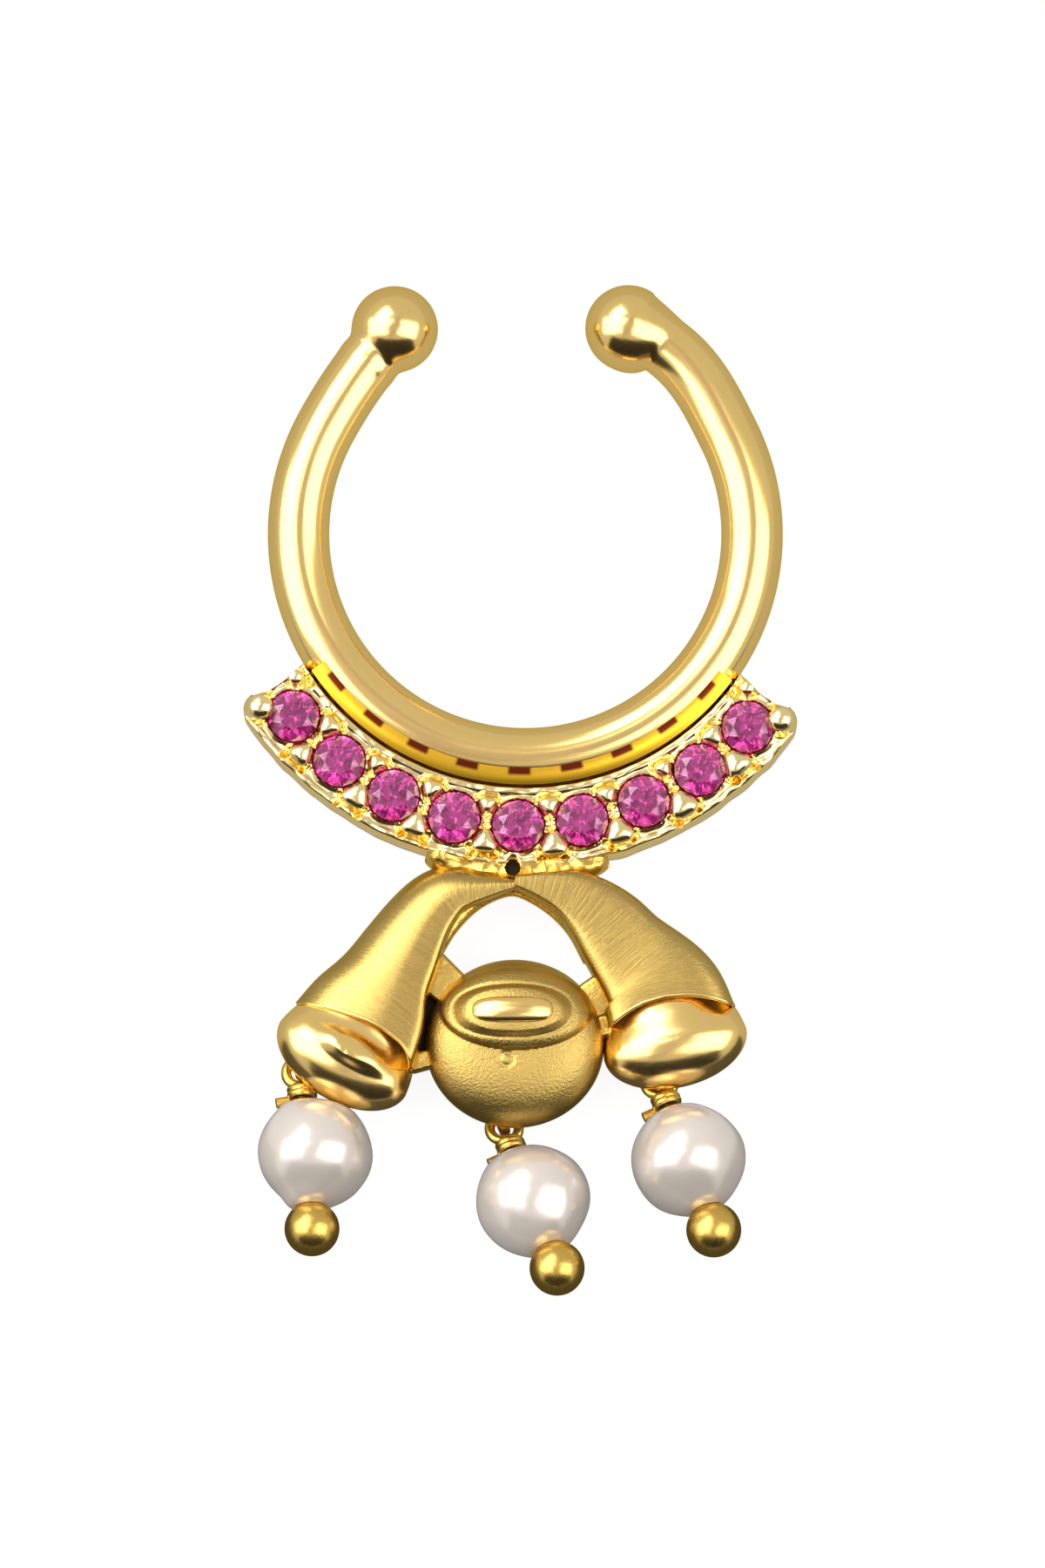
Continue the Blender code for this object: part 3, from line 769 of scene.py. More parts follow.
NECK_START = 0.75 * MM
NECK_END = 1.9 * MM
NECK_STEP = 0.05 * MM
COLLAR_PLACE = 1.0 * MM
COLLAR_RISE = 0.015 * MM
COLLAR_WIDTH = 0.13 * MM
RIGHT_NECK_OUT = 0.17 * MM
LEFT_FILLET = 0.10 * MM
RIGHT_FILLET = 0.30 * MM
RIGHT_NECK_START = 0.9 * MM
RIGHT_NECK_FULL = 1.2 * MM
RIGHT_NECK_FADE = 2.2 * MM
END_STEPS = 46
ARM_STEPS = 230
WIRE_SIDES = 48


def wire_radius():
    return settings().ring.bore / 2 + settings().ring.wire / 2


def wire_place(angle):
    """The wire's centre at an angle from the top, counted to the left; both arms are sprung open."""
    ring = settings().ring
    radius = wire_radius()
    from_right = 360 - angle
    if angle < SPRUNG_ANGLE:
        share = (SPRUNG_ANGLE - angle) / (SPRUNG_ANGLE - LEFT_END_ANGLE)
        radius += ring.left_spring * share**2
    elif from_right < SPRUNG_ANGLE:
        share = (SPRUNG_ANGLE - from_right) / (SPRUNG_ANGLE - RIGHT_END_ANGLE)
        radius += ring.right_spring * share**2
    turned = math.radians(angle)
    return Vector((-radius * math.sin(turned), radius * math.cos(turned), ring.ball / 2))


def smooth_larger(one, two, blend):
    """The larger of two values, rounded over where they are near."""
    share = min(1.0, max(0.0, 0.5 + 0.5 * (one - two) / blend))
    return two + (one - two) * share + blend * share * (1 - share)


def pushed_out(place, distance, share=1.0):
    """The right arm stands out a little past its ball, and less and less further along."""
    out = share * (1 - ease((distance - RIGHT_NECK_FULL) / RIGHT_NECK_FADE))
    return place + Vector((place.x, place.y, 0)).normalized() * RIGHT_NECK_OUT * out


def end_station(distance, left):
    """The wire's centre and radius at a distance from the ball's middle towards the arm."""
    ring = settings().ring
    degrees = math.degrees(1 / wire_radius())
    first = LEFT_END_ANGLE if left else 360 - RIGHT_END_ANGLE
    step = degrees if left else -degrees
    place = wire_place(first + step * max(distance, NECK_START))
    if distance < NECK_START:
        inward = wire_place(first + step * (NECK_START + NECK_STEP)) - place
        place = place + inward.normalized() * (distance - NECK_START)
    ball = math.sqrt(max(0.0, (ring.ball / 2) ** 2 - distance**2))
    if distance < 0:
        return place, ball
    radius = smooth_larger(ball, ring.wire / 2, LEFT_FILLET if left else RIGHT_FILLET)
    if left:
        radius += COLLAR_RISE * math.exp(-(((distance - COLLAR_PLACE) / COLLAR_WIDTH) ** 2))
    else:
        place = pushed_out(place, distance, ease(distance / RIGHT_NECK_START))
    return place, radius


def end_distance(i):
    """How far along from a ball's middle a step is; the steps are closest on the ball's far side."""
    ball = settings().ring.ball / 2
    share = 1 - math.cos(math.pi / 2 * (i + 0.25) / (END_STEPS + 0.25))
    return (NECK_END + ball) * share - ball


def ring_stations():
    """Centres and radii of the wire from the far side of the left ball to that of the right one."""
    stations = [end_station(end_distance(i), True) for i in range(END_STEPS + 1)]
    degrees = math.degrees(1 / wire_radius())
    first = LEFT_END_ANGLE + NECK_END * degrees
    last = 360 - RIGHT_END_ANGLE - NECK_END * degrees
    for i in range(1, ARM_STEPS):
        angle = first + (last - first) * i / ARM_STEPS
        beyond = (360 - RIGHT_END_ANGLE - angle) / degrees
        stations.append((pushed_out(wire_place(angle), beyond), settings().ring.wire / 2))
    stations += [end_station(end_distance(i), False) for i in reversed(range(END_STEPS + 1))]
    return stations


class SEPTUM_OT_ring(bpy.types.Operator):
    """Make the open wire ring with its ball ends"""

    bl_idname = "septum.ring"
    bl_label = "Wire ring"

    def execute(self, context):
        bm = new_shape()
        stations = ring_stations()
        sweep(bm, [place for place, _ in stations], [radius for _, radius in stations], WIRE_SIDES)
        finish_piece("wire_ring", bm, drawn_wire_gold(), ["gold_frame"])
        return {"FINISHED"}


# Crescent: a bar with nine cut seats, raised beads between them and a thin rim

BEAD_OFF_LINE = 0.455 * MM
BEAD_RISE = 0.22 * MM
BEAD_CORNERS = 0.14
BEAD_STRAY = 0.03 * MM
BEAD_STRAY_ANGLE = 0.35
BEAD_SIZES = (0.88, 1.12)
BEAD_RISES = (0.8, 1.2)
OUTER_BEAD_SHARE = 1.12
INNER_BEAD_SHARE = 0.92
BEAD_FULL = 2.2
BEAD_FOOT = -0.05 * MM
BEAD_OVERLAP = 0.02 * MM
TIP_BEAD = 0.68 * MM
TIP_BEAD_INSET = 0.44 * MM
TIP_BEAD_RISE_SHARE = 1.3
# The smaller bead at each end, beside the wire
END_BEAD_FROM_TIP = 0.20 * MM
END_BEAD_FROM_WIRE = 0.34 * MM
END_BEAD_SHARE = 0.8
END_BEAD_RISE_SHARE = 0.7
CORNER = 0.45 * MM
EDGE_ROUND = 0.10 * MM
INNER_EDGE_ROUND = 0.05 * MM
CHANNEL_DEPTH = 0.05 * MM
RIM_WIDTH = 0.12 * MM
RIM_SLOPE = 0.08 * MM
END_HOLLOW = 0.02
GROOVE = 0.03 * MM
SOLDER = 0.05 * MM
SEAT_DEPTH = 0.52 * MM
SEAT_PLAY = 0.03 * MM
SEAT_STEP = 0.06 * MM
SEAT_LIP = 0.05 * MM
SEAT_LIP_SHARE = 0.6
COLLAR = 0.10 * MM
MOAT_DEPTH = 0.06 * MM
MOAT_WIDTH = 0.09 * MM
PIT_RADIUS = 0.13 * MM
PIT_DEPTH = 0.28 * MM
PIT_FROM_BEAD = 0.25 * MM
PIT_INSETS = (0.10 * MM, 0.20 * MM)
PIT_SIZES = (0.5, 1.0)
END_PIT_FROM_TIP = 0.52 * MM
END_PIT_FROM_WIRE = 0.14 * MM
END_PIT_SHARE = 1.3
PINHOLE_ASIDE = 0.05 * MM
PINHOLE_DOWN = 0.05 * MM
PINHOLE_BACK = 0.05 * MM
EDGE_WOBBLE = 0.05 * MM
EDGE_WOBBLE_SIZE = 0.55 * MM
FACE_LUMP = 0.05 * MM
FACE_LUMP_SIZE = 0.34 * MM
CRESCENT_SEED = 11
CRESCENT_CELLS = (460, 62)


def stone_angles():
    middle = (STONE_COUNT - 1) / 2
    return [stone_pitch() * (i - middle) for i in range(STONE_COUNT)]


def setting_beads():
    """Each raised bead's place, radius, rise and corners; they were pushed up by hand, so they differ."""
    rng = random.Random(CRESCENT_SEED)
    radius = settings().ring.bead / 2
    beads = []
    for angle in stone_angles()[:-1]:
        for side in (-1, 1):
            off = BEAD_OFF_LINE + rng.uniform(-BEAD_STRAY, BEAD_STRAY)
            turn = angle + stone_pitch() / 2 + rng.uniform(-BEAD_STRAY_ANGLE, BEAD_STRAY_ANGLE)
            size = radius * rng.uniform(*BEAD_SIZES) * (OUTER_BEAD_SHARE if side > 0 else INNER_BEAD_SHARE)
            place = down_polar(stone_line() + side * off, turn)
            beads.append((place, size, BEAD_RISE * rng.uniform(*BEAD_RISES), side * BEAD_CORNERS))
    half = crescent_half_angle()
    for side in (-1, 1):
        turn = side * (half - math.degrees(TIP_BEAD / 2 / stone_line()))
        place = down_polar(crescent_outer() - TIP_BEAD_INSET, turn)
        beads.append((place, TIP_BEAD / 2, BEAD_RISE * TIP_BEAD_RISE_SHARE, 0.0))
        turn = side * (half - math.degrees(END_BEAD_FROM_TIP / stone_line()))
        place = down_polar(crescent_inner() + END_BEAD_FROM_WIRE, turn)
        beads.append((place, radius * END_BEAD_SHARE, BEAD_RISE * END_BEAD_RISE_SHARE, 0.0))
    return beads


def bead_distance(place, middle, corners):
    """How far a place is from a bead; a bead pinched between two stones has three soft corners."""
    offset = place - middle
    turn = math.atan2(offset.y, offset.x) - math.atan2(middle.y, middle.x)
    return offset.length * (1 + corners * math.cos(3 * turn))


def graver_pits():
    """Small dark pits that the graver left beside the outer beads and at the first stones."""
    rng = random.Random(CRESCENT_SEED + 1)
    pits = []
    for angle in stone_angles()[:-1]:
        for side in (-1, 1):
            turn = angle + stone_pitch() / 2 + side * math.degrees(PIT_FROM_BEAD / stone_line())
            radius = crescent_outer() - rng.uniform(*PIT_INSETS)
            pits.append((down_polar(radius, turn), PIT_RADIUS * rng.uniform(*PIT_SIZES)))
    for side in (-1, 1):
        turn = side * (crescent_half_angle() - math.degrees(END_PIT_FROM_TIP / stone_line()))
        pits.append((down_polar(crescent_inner() + END_PIT_FROM_WIRE, turn), PIT_RADIUS * END_PIT_SHARE))
    return pits


def pinhole_place():
    return Vector((settings().casting.axis - PINHOLE_ASIDE, -crescent_outer() - PINHOLE_DOWN, 0))


class CrescentFace:
    """The crescent's outline and the height of its face."""

    def __init__(self):
        self.ring = settings().ring
        self.inner, self.outer = crescent_inner(), crescent_outer()
        self.half = crescent_half_angle()
        self.stones = [down_polar(stone_line(), angle) for angle in stone_angles()]
        self.beads = setting_beads()
        self.pits = graver_pits()
        self.hole = pinhole_place()

    def outline(self, u, v, bore, inset):
        """A place on the bar: u runs along it and v across it, and its outer corners are round."""
        angle = (2 * u - 1) * self.half * (1 - END_HOLLOW * math.sin(math.pi * v))
        from_tip = math.radians(self.half - abs(angle)) * self.outer
        outer = self.outer
        if from_tip < CORNER:
            outer += math.sqrt(CORNER**2 - (CORNER - from_tip) ** 2) - CORNER
        edge = down_polar(self.outer, angle)
        aside = abs(edge.x - self.hole.x)
        outer += EDGE_WOBBLE * noise.noise(edge / EDGE_WOBBLE_SIZE)
        if aside < bore / 2:
            outer = min(outer, -self.hole.y - math.sqrt((bore / 2) ** 2 - aside**2))
        inner = self.inner + inset
        radius = inner + (outer - inner) * v
        to_edge = min(from_tip, outer - radius)
        return down_polar(radius, angle), to_edge, radius - inner

    def front(self, u, v):
        place, to_outer, to_inner = self.outline(u, v, self.ring.pinhole, GROOVE)
        rim = min(to_outer, to_inner)
        height = -CHANNEL_DEPTH * ease((rim - RIM_WIDTH) / RIM_SLOPE)
        height -= EDGE_ROUND * (1 - dome(1 - min(1.0, to_outer / EDGE_ROUND)))
        height -= INNER_EDGE_ROUND * (1 - dome(1 - min(1.0, to_inner / INNER_EDGE_ROUND)))
        height += FACE_LUMP * noise.noise(place / FACE_LUMP_SIZE)
        nearest = min((place - stone).length for stone in self.stones)
        seat = self.ring.stone / 2 + SEAT_PLAY
        collar = 1 - ease((nearest - seat) / COLLAR)
        height += (SEAT_LIP - height) * collar * SEAT_LIP_SHARE
        for middle, radius, rise, corners in self.beads:
            apart = bead_distance(place, middle, corners)
            if apart < radius + MOAT_WIDTH:
                moat = math.sin(math.pi * min(1, max(0, (apart - radius) / MOAT_WIDTH)))
                height -= MOAT_DEPTH * moat
                if apart < radius:
                    height = max(height, BEAD_FOOT + (rise - BEAD_FOOT) * dome(apart / radius, BEAD_FULL))
        for middle, radius in self.pits:
            apart = (place - middle).length
            height -= PIT_DEPTH * (1 - ease(apart / radius))
        if nearest < seat:
            over = max(
                radius - bead_distance(place, middle, corners) for middle, radius, _, corners in self.beads
            )
            if over < BEAD_OVERLAP:
                height = -SEAT_DEPTH * (1 - nearest / seat) - SEAT_STEP
        return place + Vector((0, 0, self.ring.crescent_top + height))

    def back(self, u, v):
        place, to_outer, _ = self.outline(u, v, PINHOLE_BACK, -SOLDER)
        rounding = EDGE_ROUND * (1 - dome(1 - min(1.0, to_outer / EDGE_ROUND)))
        return place + Vector((0, 0, self.ring.crescent_back + rounding))


class SEPTUM_OT_crescent(bpy.types.Operator):
    """Make the crescent bar with its seats, beads and rim, and set the stones' finish"""

    bl_idname = "septum.crescent"
    bl_label = "Crescent and stones"

    def execute(self, context):
        face = CrescentFace()
        bm = new_shape()
        relief(bm, *CRESCENT_CELLS, face.front, face.back)
        finish_piece("crescent", bm, bright_cut_gold(), ["gold_frame"], sharp=60)
        look = cubic_zirconia()
        for i in range(STONE_COUNT):
            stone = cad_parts[f"stone_{i + 1}"]
            for slot in stone.material_slots:
                slot.material = look
        return {"FINISHED"}


# Horns: brushed trumpets with a lip at the mouth and a polished bulb in it

LIP_RADIUS = 0.05 * MM
LIP_INSET = 0.035
LIP_BOW = 0.46 * MM
LIP_BOW_FROM = 0.55
LIP_STEPS = 64
LIP_SIDES = 14
LIP_END_SHARE = 0.3
# Shares of a horn's length: how far its middle line is smoothed, and where its ends start to turn to its rim
MIDDLE_SMOOTHING = 0.08
ALONG_STEP = 0.05
RIM_TURN_FROM = 0.72
HORN_CELLS = (90, 56)
BULB_UPPER_SHARE = 2.0
BULB_UPPER_FALL = 0.17
BULB_FULL = 2.1
BULB_OVAL_PLACE = Vector((0.10 * MM, 0.22 * MM))
BULB_OVAL_HALF = Vector((1.06 * MM, 0.40 * MM))
BULB_OVAL_RISE = 0.20 * MM
BULB_OVAL_FOOT = 1.12
BULB_OVAL_SLOPE = 0.8
BULB_NARROWED = 0.16
BULB_SIDE_SHARE = 0.16
BULB_EASE = 0.4
BULB_BACK_NARROWED = 0.08
BULB_BACK_RISE = 0.05 * MM
BULB_SEGMENTS = 128
BULB_RINGS = 72


class Horn:
    """One horn: its stations, its mouth, its bulb, and its form: how full each side is, and its ridge."""

    def __init__(self, name, sign, table, reach, drop, mouth, rim_turn, bulb_place, bulb_turn, form):
        casting = settings().casting
        self.name, self.sign = name, sign
        self.inner_full, self.outer_full, self.ridge = form
        bulb_side, bulb_down = bulb_place
        self.reach = sign * reach * casting.reach
        self.drop = drop * casting.drop
        self.mouth_width = mouth * casting.mouth
        self.rows = [Vector(row) for row in table]
        rim = math.radians(rim_turn)
        self.rim = Vector((math.cos(rim), math.sin(rim), 0))
        self.bulb_turn = math.radians(bulb_turn)
        self.mouth = self.centre(1.0)
        self.bulb = self.mouth + Vector((sign * bulb_side, -bulb_down, 0)) * casting.bulb_width

    def centre(self, u):
        spread = MIDDLE_SMOOTHING * math.sin(math.pi * u)
        near = [catmull(self.rows, u + step * spread) for step in (-1, 0, 1)]
        row = (near[0] + near[1] * 2 + near[2]) / 4
        return crotch() + Vector((self.reach * row[0], -self.drop * row[1], 0))

    def section(self, u):
        """The horn's centre at u, its direction across to the right and along, its width and height."""
        casting = settings().casting
        row = catmull(self.rows, u)
        before, after = self.centre(max(0.0, u - ALONG_STEP)), self.centre(min(1.0, u + ALONG_STEP))
        along = (after - before).normalized()
        across = Vector((-along.y, along.x, 0))
        across = across.lerp(self.rim, ease((u - RIM_TURN_FROM) / (1 - RIM_TURN_FROM))).normalized()
        height = casting.neck_height + row[3] * (casting.mouth_height - casting.neck_height)
        return self.centre(u), across, along, row[2] * self.mouth_width, height

    def surface(self, u, turn):
        """A place on the horn's face: turn runs from 0 at its right edge to 180 degrees at its left."""
        centre, across, along, width, height = self.section(u)
        power = 2 / (self.outer_full if math.cos(turn) * self.sign > 0 else self.inner_full)
        side = math.copysign(abs(math.cos(turn)) ** power, math.cos(turn))
        up = max(0.0, math.sin(turn)) ** power
        bow = LIP_BOW * ease((u - LIP_BOW_FROM) / (1 - LIP_BOW_FROM)) * (1 - side * side)
        side -= self.sign * self.ridge * up * (1 - side * side)
        return centre + across * (side * width / 2) + Vector((0, 0, height * up)) - along * bow


def horns():
    """Both horns: sizes as shares of the left one's, then the rim, the bulb's place and turn, the form."""
    return (
        Horn("left", -1, LEFT_HORN, 1.0, 1.0, 1.0, -30.0, (0.126, 0.253), -31.0, (6.0, 2.1, 0.34)),
        Horn("right", 1, RIGHT_HORN, 0.973, 0.882, 0.957, 10.0, (0.045, 0.308), 13.0, (5.5, 5.5, 0.0)),
    )


def horn_shape(horn):
    bm = new_shape()
    run = horn.drop + horn.reach * horn.sign

    def front(u, v):
        return horn.surface(u, math.pi * v)

    def back(u, v):
        place = horn.surface(u, math.pi * v)
        return Vector((place.x, place.y, settings().casting.back))

    def grain(u, v, place):
        _, _, _, width, _ = horn.section(u)
        return u * run, v * width, place.z

    relief(bm, *HORN_CELLS, front, back, grain)
    return bm


def lip_shape(horn):
    """The rolled lip: a round bead that follows the mouth's edge from one side to the other."""
    bm = new_shape()
    turns = [math.pi * i / LIP_STEPS for i in range(LIP_STEPS + 1)]
    path = [horn.surface(1.0, turn).lerp(horn.mouth, LIP_INSET) for turn in turns]
    shares = [LIP_END_SHARE + (1 - LIP_END_SHARE) * math.sqrt(math.sin(turn)) for turn in turns]
    sweep(bm, path, [LIP_RADIUS * share for share in shares], LIP_SIDES, up=Vector((0, 1, 0)))
    return bm


def bulb_shape(horn):
    """A full egg-shaped bulb with a flat back; the left one has a long raised oval on its face."""
    casting = settings().casting
    bm = new_shape()
    verts = bmesh.ops.create_uvsphere(bm, u_segments=BULB_SEGMENTS, v_segments=BULB_RINGS, radius=1)["verts"]
    turn = Matrix.Rotation(horn.bulb_turn, 4, "Z")
    for vert in verts:
        x, y, z = vert.co
        flat = math.hypot(x, y)
        wide = casting.bulb_width / 2 * (BULB_UPPER_SHARE if y > 0 else 1.0)
        narrowed = 1 - BULB_NARROWED * max(0.0, y)
        local = Vector((x * narrowed * casting.bulb_length / 2, y * wide, 0))
        if z >= 0:
            full = BULB_SIDE_SHARE + (1 - BULB_SIDE_SHARE) * dome(flat, BULB_FULL)
            rise = casting.bulb_rise * (full - BULB_UPPER_FALL * ease(y / BULB_EASE))
            if horn.sign < 0:
                oval = oval_distance(local, BULB_OVAL_PLACE, BULB_OVAL_HALF)
                rise += BULB_OVAL_RISE * ease((BULB_OVAL_FOOT - oval) / BULB_OVAL_SLOPE)
            local.z = rise
        else:
            local *= 1 - BULB_BACK_NARROWED * ease(-z / BULB_EASE)
            local.z = BULB_BACK_RISE
        vert.co = horn.bulb + turn @ local
    layer = bm.verts.layers.float_vector["grain"]
    for vert in verts:
        local = turn.inverted() @ (vert.co - horn.bulb)
        vert[layer] = local
    return bm


class SEPTUM_OT_horns(bpy.types.Operator):
    """Make the two cast horns, their rolled lips and the bulbs in their mouths"""

    bl_idname = "septum.horns"
    bl_label = "Horns"

    def execute(self, context):
        brushed, burnished = brushed_cast_gold(), burnished_cast_gold()
        for horn in horns():
            finish_piece(f"{horn.name}_horn", horn_shape(horn), brushed, ["gold_frame"], 50)
            finish_piece(f"{horn.name}_lip", lip_shape(horn), burnished, ["gold_frame"], 60)
            finish_piece(f"{horn.name}_bulb", bulb_shape(horn), burnished, ["gold_frame"], 50)
        return {"FINISHED"}


# Bud: a round satin dome with an oval cap whose bead is polished

BUD_WIDER = 1.03
BUD_SHORTER = 0.97
BUD_FULL = 2.9
BUD_CELLS = (150, 150)
CAP_PLACE = Vector((0.03 * MM, 0.76 * MM))
CAP_HALF = Vector((1.72 * MM, 1.02 * MM))
CAP_RISE = 0.30 * MM
CAP_STEP = 0.05 * MM
CAP_STEP_WIDTH = 0.03
CAP_FULL = 2.2
CAP_EASE = 0.06
OVAL_PLACE = Vector((-0.05 * MM, 0.66 * MM))
OVAL_HALF = Vector((1.16 * MM, 0.56 * MM))
OVAL_RISE = 0.10 * MM
OVAL_FULL = 2.3
OVAL_FOOT = 1.12
OVAL_SLOPE = 0.24
OVAL_GROOVE = 0.03 * MM
OVAL_GROOVE_PLACE = 1.14
OVAL_GROOVE_WIDTH = 0.06
BUD_BEAD_HALF = Vector((0.90 * MM, 0.31 * MM))
BUD_BEAD_RISE = 0.15 * MM
BUD_BEAD_FULL = 2.3
BUD_BEAD_SQUARE = 3
BUD_BEAD_SINK = 0.01 * MM
BUD_BEAD_BACK = 0.06 * MM
BUD_BEAD_CELLS = (60, 40)
PIT_PLACE = Vector((-0.19 * MM, -0.47 * MM))
PIT_RING_RADIUS = 0.15 * MM
PIT_RING_WIDTH = 0.05 * MM
PIT_RING_DEPTH = 0.03 * MM


def disc_place(u, v):
    """Lays a square grid over a disc of radius 1 without pinching its middle."""
    x, y = 2 * u - 1, 2 * v - 1
    return Vector((x * math.sqrt(1 - y * y / 2), y * math.sqrt(1 - x * x / 2)))


def hump(value, middle, width):
    """A smooth bump: 1 where the value is at its middle, and near 0 two widths away."""
    return math.exp(-(((value - middle) / width) ** 2))


def bud_height(place):
    """How far the bud's face stands over the casting's back, at a place from its middle."""
    casting = settings().casting
    height = casting.bud_height * dome(place.length / (casting.bud / 2), BUD_FULL)
    cap = oval_distance(place, CAP_PLACE, CAP_HALF)
    if cap < 1:
        height += CAP_STEP * ease((1 - cap) / CAP_STEP_WIDTH)
        height += CAP_RISE * dome(cap, CAP_FULL) * ease((1 - cap) / CAP_EASE)
    oval = oval_distance(place, OVAL_PLACE, OVAL_HALF, OVAL_FULL)
    height += OVAL_RISE * ease((OVAL_FOOT - oval) / OVAL_SLOPE)
    height -= OVAL_GROOVE * hump(oval, OVAL_GROOVE_PLACE, OVAL_GROOVE_WIDTH)
    return height - PIT_RING_DEPTH * hump((place - PIT_PLACE).length, PIT_RING_RADIUS, PIT_RING_WIDTH)


def bud_shape():
    casting = settings().casting
    middle = bud_centre()
    bm = new_shape()

    def front(u, v):
        place = disc_place(u, v) * (casting.bud / 2)
        return middle + Vector((place.x * BUD_WIDER, place.y * BUD_SHORTER, bud_height(place)))

    def back(u, v):
        place = disc_place(u, v) * (casting.bud / 2)
        return middle + Vector((place.x * BUD_WIDER, place.y * BUD_SHORTER, 0))

    relief(bm, *BUD_CELLS, front, back)
    return bm


def bud_bead_shape():
    """The long bead on the cap: a low dome over a rounded oblong."""
    middle = bud_centre()
    bm = new_shape()

    def spot(u, v):
        place = disc_place(u, v)
        round_size = place.length
        squarer = (abs(place.x) ** BUD_BEAD_SQUARE + abs(place.y) ** BUD_BEAD_SQUARE) ** (1 / BUD_BEAD_SQUARE)
        grown = place * (round_size / squarer if squarer else 1.0)
        return Vector((grown.x * BUD_BEAD_HALF.x, grown.y * BUD_BEAD_HALF.y)) + OVAL_PLACE, round_size

    def front(u, v):
        place, size = spot(u, v)
        height = bud_height(place) - BUD_BEAD_SINK + BUD_BEAD_RISE * dome(size, BUD_BEAD_FULL)
        return middle + Vector((place.x * BUD_WIDER, place.y * BUD_SHORTER, height))

    def back(u, v):
        place, _ = spot(u, v)
        height = bud_height(place) - BUD_BEAD_BACK
        return middle + Vector((place.x * BUD_WIDER, place.y * BUD_SHORTER, height))

    relief(bm, *BUD_BEAD_CELLS, front, back)
    return bm


class SEPTUM_OT_bud(bpy.types.Operator):
    """Make the round cast bud between the horns"""

    bl_idname = "septum.bud"
    bl_label = "Bud"

    def execute(self, context):
        finish_piece("bud", bud_shape(), sandblasted_cast_gold(), ["gold_frame"], sharp=50)
        bead = bud_bead_shape()
        finish_piece("bud_bead", bead, burnished_cast_gold(), ["gold_frame"], sharp=60)
        return {"FINISHED"}


# Webs and shoulder: what joins the buds to each other and to the crescent

# A web: the horn, the share along it, how far towards its inner edge it starts, its width and height share
WEBS = (
    (0, 0.57, 0.0, 0.84 * MM, 1.0),
    (0, 0.985, 0.9, 0.40 * MM, 1.0),
    (1, 0.71, 0.4, 0.84 * MM, 1.0),
    (1, 0.985, 0.9, 0.44 * MM, 1.0),
)
# The crevice between the left horn and the bud, in the same terms; a nearly black web of painted shade fills
# it
CREVICE = (0, 0.80, 0.5, 1.90 * MM, 0.25)
WEB_FLARE = 1.35
WEB_ROUND = 0.12 * MM
WEB_LIFT = 0.02 * MM
WEB_INTO_BUD = 0.8
# The rim's route, sideways and down from the crotch in millimetres
OPENING_RIM = (
    (-1.86, -1.76),
    (-1.48, -1.14),
    (-1.00, -0.64),
    (-0.48, -0.34),
    (0.00, -0.24),
    (0.50, -0.44),
    (1.00, -0.80),
    (1.40, -1.26),
    (1.74, -1.90),
)
OPENING_RIM_RADIUS = 0.19 * MM
OPENING_RIM_RISE = 0.22 * MM
OPENING_RIM_STEPS = 48
SHOULDER_HALF_ANGLE = 15.5
SHOULDER_UNDER_BAR = 0.10 * MM
SHOULDER_END = 0.98
SHOULDER_FULL = 3.0
SHOULDER_TOP = 0.10 * MM
SHOULDER_BACK = 0.975 * MM
SHOULDER_FALL = 0.30 * MM
SHOULDER_END_WIDTH = 0.3 * MM
SHOULDER_FALL_FROM = 0.45
# The lumps of the solder, coarse and fine: how high and how far apart
COARSE_LUMPS = (0.12 * MM, 0.42 * MM)
FINE_LUMPS = (0.015 * MM, 0.15 * MM)
SHOULDER_CELLS = (130, 22)
PINHOLE_TAPER = 0.34 * MM
# The painted shade in the pinhole: its height, its depth, how far it reaches into the wall, and its taper
PINHOLE_SHADE_HEIGHT = 1.30 * MM
PINHOLE_SHADE_DEPTH = 0.10 * MM
PINHOLE_SHADE_IN_WALL = 0.02 * MM
PINHOLE_SHADE_TAPER = 0.9
# The seam runs along this share of the crescent, from this angle on the wire, in degrees from its top
SEAM_REACH = 0.96
SEAM_TOP = 24.0
SEAM_GAP = 0.05 * MM
SEAM_DROP = 0.10 * MM
SEAM_BULGE = 0.02 * MM
SEAM_THICKNESS = 0.30 * MM
SEAM_CELLS = (220, 8)


def add_web(bm, which, u, inward, width, share):
    """A rounded bar from a horn to the bud, wider at the horn."""
    casting = settings().casting
    horn = horns()[which]
    centre, across, _, horn_width, _ = horn.section(u)
    foot = centre - horn.sign * across * inward * horn_width / 2
    towards = bud_centre() - foot
    reach = towards.length - casting.bud / 2 * WEB_INTO_BUD
    height = casting.web_height * share
    middle = foot + towards.normalized() * reach / 2 + Vector((0, 0, height / 2 + WEB_LIFT))
    turn = Matrix.Rotation(math.atan2(towards.y, towards.x), 4, "Z")
    made = bmesh.ops.create_cube(bm, size=1.0)["verts"]
    for vert in made:
        if vert.co.x < 0:
            vert.co.y *= WEB_FLARE
    shape = Matrix.Translation(middle) @ turn @ Matrix.Diagonal((reach, width, height, 1))
    bmesh.ops.transform(bm, matrix=shape, verts=made)
    edges = list({edge for vert in made for edge in vert.link_edges})
    bmesh.ops.bevel(
        bm, geom=edges, offset=WEB_ROUND * share, segments=5, profile=0.5, affect="EDGES", material=-1
    )


# A nearly black web in the crevice: painted shade
def crevice_shade_shape():
    bm = new_shape()
    add_web(bm, *CREVICE)
    mark_grain(bm, bm.verts)
    return bm


